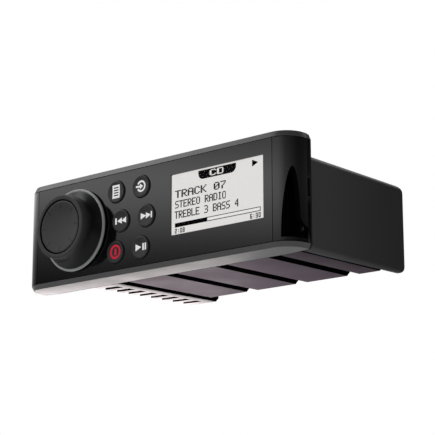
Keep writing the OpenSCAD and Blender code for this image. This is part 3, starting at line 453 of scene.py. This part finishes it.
# Dark segments of the display: near black and matt, and the tab a little paler.
lcd_ink = grained("dark display segments", "#0b0b0c", "#08080a",
                  roughness=0.7, grain=2.0 * MM, depth=0.0005 * MM, **MATT)
lcd_tab = grained("dark display tab", "#1d1d1f", "#18181a",
                  roughness=0.7, grain=2.0 * MM, depth=0.0005 * MM, **MATT)
lcd_white = grained("pale display segments", "#8e8e8c", "#878785",
                    roughness=0.6, grain=2.0 * MM, depth=0.0005 * MM,
                    **MATT, **glow("#fffdfb", 0.66))
WINDOW_CORNERS = (0.5 * MM, 0.5 * MM)
cover = plate("display_window", window_lo + WINDOW_IN, window_hi - WINDOW_IN, COVER_FRONT, COVER_BACK,
              WINDOW_CORNERS, edge=0.1 * MM)
fitted(cover, "chassis", "clear_lens", clear_window(), "display_lens")
layer = plate("display_layer", window_lo + WINDOW_IN, window_hi - WINDOW_IN, LAYER_FRONT, lens_hi.y,
              WINDOW_CORNERS, edge=0.05 * MM)
fitted(layer, "chassis", "lcd_layer", lcd_pale)
light_guide = grained("white light guide", "#f0f0ea", "#e6e6e0",
                      roughness=0.5, grain=1.0 * MM, depth=0.002 * MM)
painted(lcd_pale, "lcd_glass")
painted(light_guide, "lcd_backlight")


def on_display(u, v):
    """The point at share u of the window's width from the left and share v of its height from the top."""
    return window_lo[0] + u * window_size[0], window_hi[1] - v * window_size[1]


FILM = 0.015 * MM


def bar(name, u0, u1, v0, v1, front, material, corners=(0.1 * MM, 0.1 * MM)):
    """A flat segment of the display between two pairs of shares."""
    (x0, z1), (x1, z0) = on_display(u0, v0), on_display(u1, v1)
    piece = plate(name, (x0, z0), (x1, z1), front, front + FILM, corners, edge=0.002 * MM)
    return fitted(piece, "chassis", "lcd_layer", material)


# Seven rows of each sign of the dot matrix, from the top, five dots wide.
SIGNS = {
    "A": (0b01110, 0b10001, 0b10001, 0b11111, 0b10001, 0b10001, 0b10001),
    "B": (0b11110, 0b10001, 0b10001, 0b11110, 0b10001, 0b10001, 0b11110),
    "C": (0b01110, 0b10001, 0b10000, 0b10000, 0b10000, 0b10001, 0b01110),
    "D": (0b11110, 0b10001, 0b10001, 0b10001, 0b10001, 0b10001, 0b11110),
    "E": (0b11111, 0b10000, 0b10000, 0b11110, 0b10000, 0b10000, 0b11111),
    "I": (0b01110, 0b00100, 0b00100, 0b00100, 0b00100, 0b00100, 0b01110),
    "K": (0b10001, 0b10010, 0b10100, 0b11000, 0b10100, 0b10010, 0b10001),
    "L": (0b10000, 0b10000, 0b10000, 0b10000, 0b10000, 0b10000, 0b11111),
    "O": (0b01110, 0b10001, 0b10001, 0b10001, 0b10001, 0b10001, 0b01110),
    "R": (0b11110, 0b10001, 0b10001, 0b11110, 0b10100, 0b10010, 0b10001),
    "S": (0b01111, 0b10000, 0b10000, 0b01110, 0b00001, 0b00001, 0b11110),
    "T": (0b11111, 0b00100, 0b00100, 0b00100, 0b00100, 0b00100, 0b00100),
    "0": (0b01110, 0b10001, 0b10011, 0b10101, 0b11001, 0b10001, 0b01110),
    "2": (0b01110, 0b10001, 0b00001, 0b00110, 0b01000, 0b10000, 0b11111),
    "3": (0b11110, 0b00001, 0b00001, 0b01110, 0b00001, 0b00001, 0b11110),
    "4": (0b00010, 0b00110, 0b01010, 0b10010, 0b11111, 0b00010, 0b00010),
    "6": (0b01110, 0b10000, 0b10000, 0b11110, 0b10001, 0b10001, 0b01110),
    "7": (0b11111, 0b00001, 0b00010, 0b00100, 0b01000, 0b01000, 0b01000),
    "8": (0b01110, 0b10001, 0b10001, 0b01110, 0b10001, 0b10001, 0b01110),
    ":": (0b00000, 0b00100, 0b00100, 0b00000, 0b00100, 0b00100, 0b00000),
    " ": (0, 0, 0, 0, 0, 0, 0),
}
# Five rows of each sign of the two times, three dots wide.
SMALL_SIGNS = {
    "0": (0b111, 0b101, 0b101, 0b101, 0b111),
    "2": (0b111, 0b001, 0b111, 0b100, 0b111),
    "3": (0b111, 0b001, 0b111, 0b001, 0b111),
    "6": (0b111, 0b100, 0b111, 0b101, 0b111),
    "8": (0b111, 0b101, 0b111, 0b101, 0b111),
    ":": (0b000, 0b010, 0b000, 0b010, 0b000),
}
# Share of its cell that a dot fills.
DOT = 0.96


def words(name, text, u0, u1, v0, v1, front, material, bold=False, signs=SIGNS, dots=5):
    """Words of a dot matrix that fill the box from (u0, v0) to (u1, v1) of the display: each dark cell of
    the grid is a small square plate, and a sign is dots wide with one free column after it. Bold halves the
    cells' width and darkens the cell after each dark one."""
    rows = np.array([signs[sign] for sign in text])
    cells = rows[:, :, None] >> np.arange(dots - 1, -1, -1) & 1
    spaced = np.pad(cells, ((0, 0), (0, 0), (0, 1)))
    grid = np.concatenate(list(spaced), axis=1)[:, :-1].astype(bool)
    if bold:
        grid = np.repeat(grid, 2, axis=1)
        grid[:, 1:] |= grid[:, :-1]
    high, wide = grid.shape
    row, column = np.nonzero(grid)
    corner = np.array([(0, 0), (DOT, 0), (DOT, DOT), (0, DOT)])
    u = u0 + (u1 - u0) * (column[:, None] + corner[:, 0]) / wide
    v = v0 + (v1 - v0) * (row[:, None] + corner[:, 1]) / high
    x, z = on_display(u, v)
    mesh = bpy.data.meshes.new(name)
    mesh.from_pydata(np.stack([x, np.full_like(x, front), z], -1).reshape(-1, 3).tolist(), [],
                     np.arange(4 * len(row)).reshape(-1, 4).tolist())
    piece = shown(name, mesh)
    film = piece.modifiers.new("film", "SOLIDIFY")
    film.thickness = FILM
    film.offset = 0
    return fitted(piece, "chassis", "lcd_layer", material)


# What the display shows: left and right share of its width, then upper and lower share of its height.
OVER_Y = PRINT_Y - 0.03 * MM
bar("display_tab", 0.30, 0.71, 0.03, 0.175, PRINT_Y, lcd_tab, (0.2 * MM, 3.0 * MM))
words("display_source", "CD", 0.425, 0.575, 0.05, 0.15, OVER_Y, lcd_white, bold=True)
words("display_title", "TRACK 07", 0.04, 0.60, 0.275, 0.40, PRINT_Y, lcd_ink, bold=True)
words("display_second", "STEREO RADIO", 0.04, 0.60, 0.447, 0.568, PRINT_Y, lcd_ink, bold=True)
words("display_third", "TREBLE 3 BASS 4", 0.035, 0.735, 0.615, 0.74, PRINT_Y, lcd_ink, bold=True)
bar("display_bar", 0.04, 0.965, 0.81, 0.88, PRINT_Y, lcd_ink)
bar("display_bar_rest", 0.40, 0.958, 0.822, 0.868, OVER_Y, lcd_white)
words("display_time", "2:08", 0.04, 0.15, 0.9, 0.978, PRINT_Y, lcd_ink, signs=SMALL_SIGNS, dots=3)
words("display_length", "6:30", 0.855, 0.965, 0.9, 0.978, PRINT_Y, lcd_ink, signs=SMALL_SIGNS, dots=3)
tip = np.stack(on_display(np.array([0.88, 0.88, 0.942]), np.array([0.045, 0.155, 0.1])), -1)
sides = np.array([PRINT_Y, PRINT_Y + FILM])[:, None, None]
tip_rings = np.concatenate(np.broadcast_arrays(tip[None, :, :1], sides, tip[None, :, 1:]), -1)
play_sign = lofted("display_play", tip_rings)
fitted(play_sign, "chassis", "lcd_layer", lcd_ink)

# Keys: six round keys with a shallow dish, in two columns. They are moulded in satin plastic, their marks are
# printed on, and each presses a switch on the control board.


def turned(profile, x, z, steps=96):
    """Rings of a turned piece: a profile of radius and height in front of the face, in mm, carried round an
    axis at x, z."""
    turn = np.linspace(0, 2 * np.pi, steps, endpoint=False)
    radius, height = np.asarray(profile, float).T[:, :, None] * MM
    return np.stack([x + radius * np.cos(turn), FACE_Y - height + 0 * turn, z + radius * np.sin(turn)], -1)


LEG_SHARE = 0.45


def softened(corners, reach, steps=4):
    """A polyline whose inner corners become curves: (1 - t) squared a + 2 t (1 - t) corner + t squared b,
    where a and b lie on its two legs, at most reach away and not beyond the leg's share."""
    p = np.asarray(corners, float)
    ahead, behind = p[2:] - p[1:-1], p[:-2] - p[1:-1]
    a = p[1:-1] + behind * np.minimum(reach / np.linalg.norm(behind, axis=1), LEG_SHARE)[:, None]
    b = p[1:-1] + ahead * np.minimum(reach / np.linalg.norm(ahead, axis=1), LEG_SHARE)[:, None]
    t = np.linspace(0, 1, steps)[None, :, None]
    curves = (1 - t) ** 2 * a[:, None] + 2 * t * (1 - t) * p[1:-1][:, None] + t ** 2 * b[:, None]
    return np.vstack([p[:1], curves.reshape(-1, 2), p[-1:]])


# Sizes of a key in mm: heights are measured from the face, and turned profiles stop short of the axis, where
# a flat cap closes them.
CORE_R = 0.2
KEY_R, DISH_R, COLLAR_R, STEM_R = 5.6, 4.9, 6.6, 2.2
KEY_RAISE, KEY_DISH = 0.9, 0.35
SKIRT_H, COLLAR_H, STEM_H = -2.7, -3.5, -4.0
MARK_ASIDE, MARK_ROWS, MARK_FILM = 0.3, 7, 0.02 * MM
MARK_LIFT, LINES_LIFT = 0.012, 0.04


def key_top(radius):
    """Height of a key's top over the face: a parabola that rises from the middle of the dish to its rim."""
    return KEY_RAISE - KEY_DISH * np.clip(1 - (radius / DISH_R) ** 2, 0, 1)


def key_mark(name, x, z, strips, material, lift, top=key_top, aside=MARK_ASIDE):
    """Printed marks on a key's dish. A strip is two edge lines of equal length, and its grid is the straight
    blend from one to the other, moved aside, laid on the dish, whose height top gives, and thickened to a
    film."""
    share = np.linspace(0, 1, MARK_ROWS)[:, None, None]
    grids = [np.asarray(a, float) * (1 - share) + np.asarray(b, float) * share for a, b in strips]
    points, faces, start = [], [], 0
    for grid in grids:
        k, n, _ = grid.shape
        at = start + np.arange(k - 1)[:, None] * n + np.arange(n - 1)[None, :]
        faces += np.stack([at, at + 1, at + n + 1, at + n], -1).reshape(-1, 4).tolist()
        points.append(grid.reshape(-1, 2))
        start += k * n
    flat = np.vstack(points)
    flat[:, 0] += aside
    height = top(np.linalg.norm(flat, axis=1)) + lift
    placed = np.stack([x + flat[:, 0] * MM, FACE_Y - height * MM, z + flat[:, 1] * MM], -1)
    mesh = bpy.data.meshes.new(name)
    mesh.from_pydata(placed.tolist(), [], faces)
    piece = shown(name, mesh)
    film = piece.modifiers.new("film", "SOLIDIFY")
    film.thickness = MARK_FILM
    film.offset = 0
    piece.data.materials.append(material)
    return piece


def line(a, b, n=9):
    """n points on the straight line from a to b."""
    return np.linspace(a, b, n)


def arc(radius, start, stop, n=41):
    """n points on a circle about the key's middle, between two angles in degrees."""
    turn = np.radians(np.linspace(start, stop, n))
    return radius * np.stack([np.cos(turn), np.sin(turn)], -1)


def box(u0, u1, v0, v1):
    """A strip that fills a rectangle."""
    return line((u0, v0), (u1, v0)), line((u0, v1), (u1, v1))


def wedge(tip, base, half):
    """A strip that fills a triangle from its tip to an upright base."""
    return line((tip, 0), (base, -half)), line((tip, 0), (base, half))


# Satin key plastic: charcoal, duller than the panel around it.
key_satin = grained("satin key plastic", "#39393c", "#333336",
                    roughness=0.4, grain=0.5 * MM, depth=0.006 * MM)
# Translucent ink in white, near-black and red, lit from behind.
ink_white = grained("white ink", "#c8c8c8", "#bebebe", roughness=0.5, grain=0.5 * MM, depth=0.002 * MM,
                    **MATT, **glow("#ffffff", 0.5))
ink_dark = grained("dark ink", "#1a1a1c", "#141416",
                   roughness=0.5, grain=0.5 * MM, depth=0.002 * MM, **MATT)
ink_red = grained("red ink", "#bd2033", "#b01a2c", roughness=0.5, grain=0.5 * MM, depth=0.002 * MM,
                  **MATT, **glow("#dc3348", 0.42))
# Marks in mm about the key's middle: a page, an arrow into a ring, two skips, a barred ring, play and pause.
page_lines = [box(-1.6, 1.6, v, v + 0.6) for v in (1.75, 0.45, -0.85, -2.15)]
key_marks = {
    "menu": (ink_white, [box(-2.5, 2.5, -3.4, 3.4)]),
    "source": (ink_white, [(arc(2.0, -150, 150), arc(2.95, -150, 150)), box(-3.5, -0.6, -0.5, 0.5),
                           wedge(1.2, -0.9, 1.5)]),
    "previous": (ink_white, [box(-3.9, -2.9, -1.6, 1.6), wedge(-2.6, 0.5, 1.6), wedge(0.3, 3.6, 1.6)]),
    "next": (ink_white, [wedge(-0.1, -3.6, 1.6), wedge(3.0, -0.3, 1.6), box(3.1, 4.0, -1.6, 1.6)]),
    "power": (ink_red, [(arc(2.5, 0, 360, 65), arc(3.6, 0, 360, 65)), box(-0.65, 0.65, -1.6, 1.6)]),
    "play": (ink_white, [wedge(0.4, -3.3, 1.75), box(1.2, 2.2, -1.75, 1.75), box(2.8, 3.8, -1.75, 1.75)]),
}
dish_r = np.linspace(CORE_R, DISH_R, 12)
dish = np.stack([dish_r, key_top(dish_r)], -1)
side = softened([dish[-1], (KEY_R, KEY_RAISE), (KEY_R, SKIRT_H), (COLLAR_R, SKIRT_H), (COLLAR_R, COLLAR_H),
                 (STEM_R, COLLAR_H), (STEM_R, STEM_H)], reach=0.45)
key_profile = np.vstack([dish, side[1:]])
for key, (ink, strips) in key_marks.items():
    lo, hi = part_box("button_" + key)
    x, z = (lo.x + hi.x) / 2, (lo.z + hi.z) / 2
    cap = lofted("key_cap_" + key, turned(key_profile, x, z))
    fitted(cap, "key_" + key, "key_plastic", key_satin, "button_" + key)
    mark = key_mark("key_print_" + key, x, z, strips, ink, MARK_LIFT)
    fitted(mark, "key_" + key, "key_plastic", ink)
    if key == "menu":
        rows = key_mark("key_lines_" + key, x, z, page_lines, ink_dark, LINES_LIFT)
        fitted(rows, "key_" + key, "key_plastic", ink_dark)

# Knob: a flared volume knob that turns without end and clicks when it is pushed. The flare is satin black, a
# dished grey cap is pressed into its front with a narrow gap around it, and a plated ring closes its foot.
knob_lo, knob_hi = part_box("knob_body")
KNOB_X, KNOB_Z = (knob_lo.x + knob_hi.x) / 2, (knob_lo.z + knob_hi.z) / 2
KNOB_H = (FACE_Y - knob_lo.y) / MM
# Heights over the face and radii of the knob, in mm, from its foot to its rim.
FOOT, FLARE_LOW, FLARE_TOP = 0.9, 2.1, KNOB_H - 3
HOLLOW_H, HUB_H, SHAFT_H = 3.0, 5.6, KNOB_H - 2.9
CAP_SEAT, CAP_RIM = KNOB_H - 1.7, KNOB_H - 0.3
SHAFT_R, HUB_R, HOLLOW_R, FOOT_R = 3.05, 9.5, 17.0, 19.6
WAIST_R, FLARE_R, RIM_R, ROOM_R, CAP_R = 16.4, 20.1, 16.6, 14.1, 13.45
RIM_MID = (RIM_R + ROOM_R) / 2
FLARE_POWER, KNOB_STEPS = 1.6, 160
rise = np.linspace(0, 1, 28)
flare = np.stack([WAIST_R + (FLARE_R - WAIST_R) * (1 - np.sin(np.pi / 2 * rise)) ** FLARE_POWER,
                  FLARE_LOW + (FLARE_TOP - FLARE_LOW) * rise], -1)
under = [(CORE_R, SHAFT_H), (SHAFT_R, SHAFT_H), (SHAFT_R, HUB_H), (HUB_R, HUB_H), (HUB_R, HOLLOW_H),
         (HOLLOW_R, HOLLOW_H), (HOLLOW_R, FOOT), (FOOT_R, FOOT), (FOOT_R, FLARE_LOW)]
rim = softened([flare[-1], (RIM_R, KNOB_H), (RIM_MID, KNOB_H)], reach=1.3, steps=8)
room = softened([(RIM_MID, KNOB_H), (ROOM_R, KNOB_H), (ROOM_R, CAP_SEAT), (CORE_R, CAP_SEAT)], reach=0.25)
# Satin paint of the flare: dark grey at the rim, with painted shade that darkens it to near black towards the
# foot.
FLARE_SHADED_Y, FLARE_LIT_Y = FACE_Y - 5.5 * MM, FACE_Y - (KNOB_H - 0.6) * MM
knob_black = grained("satin grey paint with painted shade at the foot", "#464648", "#0d0d0e",
                     roughness=0.34, grain=0.5 * MM, depth=0.004 * MM,
                     fade=("Y", FLARE_SHADED_Y, FLARE_LIT_Y), **{SHEEN: 0.3})
# Satin paint of the cap: dark grey, soft.
cap_satin = grained("satin grey paint", "#3d3d3f", "#373739",
                    roughness=0.38, grain=0.5 * MM, depth=0.005 * MM)
# Satin chrome plating of the ring.
satin_chrome = grained("satin chrome", "#bcbebf", "#b0b2b3",
                       roughness=0.45, grain=0.6 * MM, depth=0.004 * MM, Metallic=0.3)
flare_profile = np.vstack([under, flare, rim[1:], room[1:]])
body = lofted("knob_flare", turned(flare_profile, KNOB_X, KNOB_Z, KNOB_STEPS))
fitted(body, "knob", "knob_plastic", knob_black, "knob_body")


def off_axis(piece):
    """Distance of each face of a turned piece from the knob's axis, in mm."""
    at = faces_of(piece)[0]
    return np.hypot(at[:, 0] - KNOB_X, at[:, 2] - KNOB_Z) / MM


# The gap around the cap, whose walls lie between these radii, is matt black: painted shade.
GAP_IN, GAP_OUT = CAP_R - 0.05, ROOM_R + 0.02
toned(body, (black_inside_and_shade, off_axis(body) < GAP_OUT))
BOWL_R, BOWL_DEPTH = CAP_R - 0.8, 0.7


def bowl_top(radius):
    """Height of the cap's dish over the face: a parabola from its middle to its rim."""
    return CAP_RIM - BOWL_DEPTH * (1 - (radius / BOWL_R) ** 2)


bowl_r = np.linspace(BOWL_R, CORE_R, 24)
bowl = np.stack([bowl_r, bowl_top(bowl_r)], -1)
shoulder = softened([(CORE_R, CAP_SEAT), (CAP_R, CAP_SEAT), (CAP_R, CAP_RIM), bowl[0]], reach=0.4)
cap = lofted("knob_face", turned(np.vstack([shoulder[:-1], bowl]), KNOB_X, KNOB_Z, KNOB_STEPS))
fitted(cap, "knob", "knob_cap_plastic", cap_satin, "knob_cap")
# The cap's outer wall in the gap is matt black too: painted shade.
toned(cap, (black_inside_and_shade, off_axis(cap) > GAP_IN))
# Eight short creases around the dish, from the cap's moulding: thin films a little darker than the paint, which
# are painted shade in the creases.
crease_shade = grained("shaded crease", "#121213", "#0e0e0f",
                      roughness=0.45, grain=0.5 * MM, depth=0.005 * MM)
CREASE_IN, CREASE_OUT, CREASE_HALF = 9.6, 12.8, 0.24
around = np.radians(np.arange(0, 360, 45))[:, None, None]
along = np.linspace(CREASE_IN, CREASE_OUT, 9)[None, :, None]
spoke = along * np.concatenate([np.cos(around), np.sin(around)], -1)
across = CREASE_HALF * np.concatenate([-np.sin(around), np.cos(around)], -1)
spokes = list(zip(spoke - across, spoke + across))
creases = key_mark("knob_creases", KNOB_X, KNOB_Z, spokes, crease_shade, MARK_LIFT, bowl_top, aside=0.0)
fitted(creases, "knob", "knob_cap_plastic", crease_shade)
# Section of the ring: its foot is cut off by the first size, and its front edge slopes by the other two.
RING_IN, RING_OUT, RING_MID = 19.65, 21.3, 1.5
RING_CUT, RING_SLOPE_R, RING_SLOPE_H = 0.2, 0.4, 0.5
ring_section = softened([(RING_IN, RING_MID), (RING_IN, FOOT), (RING_OUT - RING_CUT, FOOT),
                         (RING_OUT, FOOT + RING_CUT), (RING_OUT, FLARE_LOW - RING_SLOPE_H),
                         (RING_OUT - RING_SLOPE_R, FLARE_LOW), (RING_IN, FLARE_LOW),
                         (RING_IN, RING_MID)], reach=0.15)
ring = lofted("knob_trim", turned(ring_section[:-1], KNOB_X, KNOB_Z, KNOB_STEPS), closed=True)
fitted(ring, "knob", "ring_metal", satin_chrome, "knob_ring")

# Studio: a pale floor well below the part, and a white surround with a softbox and a screen that glossy pieces
# mirror. Two boxes overhead at the left, an edge box behind and a low card under the left side light the part,
# and the camera stands below and to the right of the front.
FLOOR_Z, FLOOR_HALF = -0.26, 2.5
grid = np.linspace(-FLOOR_HALF, FLOOR_HALF, 3)
spread = np.stack(np.meshgrid(grid, grid, indexing="ij") + [np.full((3, 3), FLOOR_Z)], -1).reshape(-1, 3)
tiles = [[i, i + 3, i + 4, i + 1] for i in (0, 1, 3, 4)]
floor_mesh = bpy.data.meshes.new("studio_floor")
floor_mesh.from_pydata(spread.tolist(), [], tiles)
floor = bpy.data.objects.new("studio_floor", floor_mesh)
bpy.context.scene.collection.objects.link(floor)
# Matt floor paint: nearly white, and rolled on, so that it is faintly uneven.
floor_paint = grained("pale floor paint", "#e9e9e8", "#e4e4e3",
                      roughness=0.7, grain=20 * MM, depth=0.01 * MM)
floor_mesh.materials.append(floor_paint)

world = bpy.data.worlds.new("white surround")
bpy.context.scene.world = world
world.use_nodes = True
sky = world.node_tree
sky.nodes.clear()
AMBIENT, SHADE, PEAK = 0.35, 0.02, 1.9
WHITE_SIDE = (-0.8, 0.6, 0.0)
FRONT_LEFT = (-0.707, -0.707, 0.0)
# The softbox, as brightness over the height of a ray and over its turn to the front left.
SOFT_HEIGHT = ((0.185, 0.0), (0.207, 0.13), (0.217, 0.26), (0.248, 0.95), (0.262, 1.0), (0.28, 0.46),
               (0.34, 0.25), (0.6, 0.12))
SOFT_TURN = ((0.0, 0.08), (0.1, 0.07), (0.2, 0.11), (0.6, 0.38), (0.84, 0.98), (1.0, 1.0))
# The white screen at the left and behind: where its edge lies, as the share of a ray that goes its way, and its
# brightness over the height of a ray.
SCREEN_EDGE, SCREEN_FULL = 0.4, 0.8
SCREEN_HEIGHT = ((0.02, 1.0), (0.2, 0.31), (0.5, 0.45), (0.8, 0.4))


def curve(tree, stops, source):
    """A grey curve through stops of position and brightness, straight between them."""
    node = put(tree, "ShaderNodeValToRGB", links={"Fac": source})
    marks = node.color_ramp.elements
    marks[0].position, marks[1].position = stops[0][0], stops[-1][0]
    marks[0].color, marks[1].color = ((level, level, level, 1) for level in (stops[0][1], stops[-1][1]))
    for place, level in stops[1:-1]:
        marks.new(place).color = (level, level, level, 1)
    return node


path = put(sky, "ShaderNodeLightPath")
where = put(sky, "ShaderNodeTexCoord")
towards = put(sky, "ShaderNodeVectorMath", {1: WHITE_SIDE}, {0: (where, "Generated")},
              operation="DOT_PRODUCT")
screen = put(sky, "ShaderNodeMapRange", {"From Min": SCREEN_EDGE, "From Max": SCREEN_FULL,
                                         "To Min": SHADE, "To Max": 1.0}, {"Value": (towards, "Value")})
height = put(sky, "ShaderNodeSeparateXYZ", links={"Vector": (where, "Generated")})
turn_in = put(sky, "ShaderNodeVectorMath", {1: FRONT_LEFT}, {0: (where, "Generated")},
              operation="DOT_PRODUCT")
turn_share = put(sky, "ShaderNodeMapRange", {"From Min": -1.0, "From Max": 1.0},
                 {"Value": (turn_in, "Value")})
soft_rows = curve(sky, SOFT_HEIGHT, (height, "Z"))
soft_columns = curve(sky, SOFT_TURN, (turn_share, "Result"))
screen_rows = curve(sky, SCREEN_HEIGHT, (height, "Z"))
graded = put(sky, "ShaderNodeMath", links={0: (screen, "Result"), 1: (screen_rows, "Color")},
             operation="MULTIPLY")
softbox = put(sky, "ShaderNodeMath", links={0: (soft_rows, "Color"), 1: (soft_columns, "Color")},
              operation="MULTIPLY")
glossy = put(sky, "ShaderNodeMath", {1: PEAK}, {0: (softbox, "Value"), 2: (graded, "Value")},
             operation="MULTIPLY_ADD")
mirrored = put(sky, "ShaderNodeMath", links={0: (path, "Is Glossy Ray"), 1: (path, "Is Transmission Ray")},
               operation="MAXIMUM")
lit = put(sky, "ShaderNodeMix", {2: AMBIENT}, {0: (mirrored, "Value"), 3: (glossy, "Value")})
seen = put(sky, "ShaderNodeMix", {3: 1.0}, {0: (path, "Is Camera Ray"), 2: (lit, 0)})
surround = put(sky, "ShaderNodeBackground", {"Color": (1, 1, 1, 1)}, {"Strength": (seen, 0)})
put(sky, "ShaderNodeOutputWorld", links={"Surface": (surround, "Background")})


def looking(eye, target):
    """A turn that points an object's -Z from eye to target, with its Y upwards."""
    return (target - eye).to_track_quat("-Z", "Y").to_matrix().to_4x4()


def area_light(name, eye, target, width, height, radiance, colour="#ffffff"):
    """A rectangular light of even radiance: its power is pi times radiance times area."""
    lamp = bpy.data.lights.new(name, "AREA")
    lamp.shape = "RECTANGLE"
    lamp.color = linear(colour)[:3]
    lamp.size, lamp.size_y = width, height
    lamp.energy = math.pi * radiance * width * height
    holder = bpy.data.objects.new(name, lamp)
    bpy.context.scene.collection.objects.link(holder)
    eye, target = Vector(eye), Vector(target)
    holder.matrix_world = Matrix.Translation(eye) @ looking(eye, target)
    holder.visible_camera = False
    return holder


MIDDLE, UNDERSIDE = (0, 0, 0), (0, 0, -0.03)
area_light("overhead_box", (-0.72, -0.45, 0.9), MIDDLE, width=0.9, height=0.7, radiance=1.8)
area_light("top_box", (-0.45, 0.2, 1.1), MIDDLE, width=0.6, height=0.6, radiance=1.2)
area_light("edge_box", (0.1, 0.85, 0.8), MIDDLE, width=0.5, height=0.4, radiance=1.6)
area_light("low_card", (-0.36, 0.29, -0.09), UNDERSIDE, width=0.26, height=0.1, radiance=3.4, colour="#fff4f4")

# Camera fitted to the photograph: yaw to the right of the front, pitch upwards, and the lens for its sensor.
YAW, PITCH, ROLL = (math.radians(a) for a in (40.405, 13.483, -0.079))
EYE = (0.50495, -0.5561, -0.1785)
LENS_MM, SENSOR_MM = 128.26, 36
ahead = Vector((-math.sin(YAW) * math.cos(PITCH), math.cos(YAW) * math.cos(PITCH), math.sin(PITCH)))
right = Vector((math.cos(YAW), math.sin(YAW), 0))
up = right.cross(ahead)
rolled_right = math.cos(ROLL) * right + math.sin(ROLL) * up
rolled_up = math.cos(ROLL) * up - math.sin(ROLL) * right
lens = bpy.data.cameras.new("camera")
lens.lens = LENS_MM
lens.sensor_width = SENSOR_MM
lens.clip_start, lens.clip_end = 0.01, 20
camera = bpy.data.objects.new("camera", lens)
bpy.context.scene.collection.objects.link(camera)
camera.matrix_world = Matrix.Translation(EYE) @ Matrix((rolled_right, rolled_up, -ahead)).transposed().to_4x4()
bpy.context.scene.camera = camera
bpy.context.scene.view_settings.view_transform = "Standard"
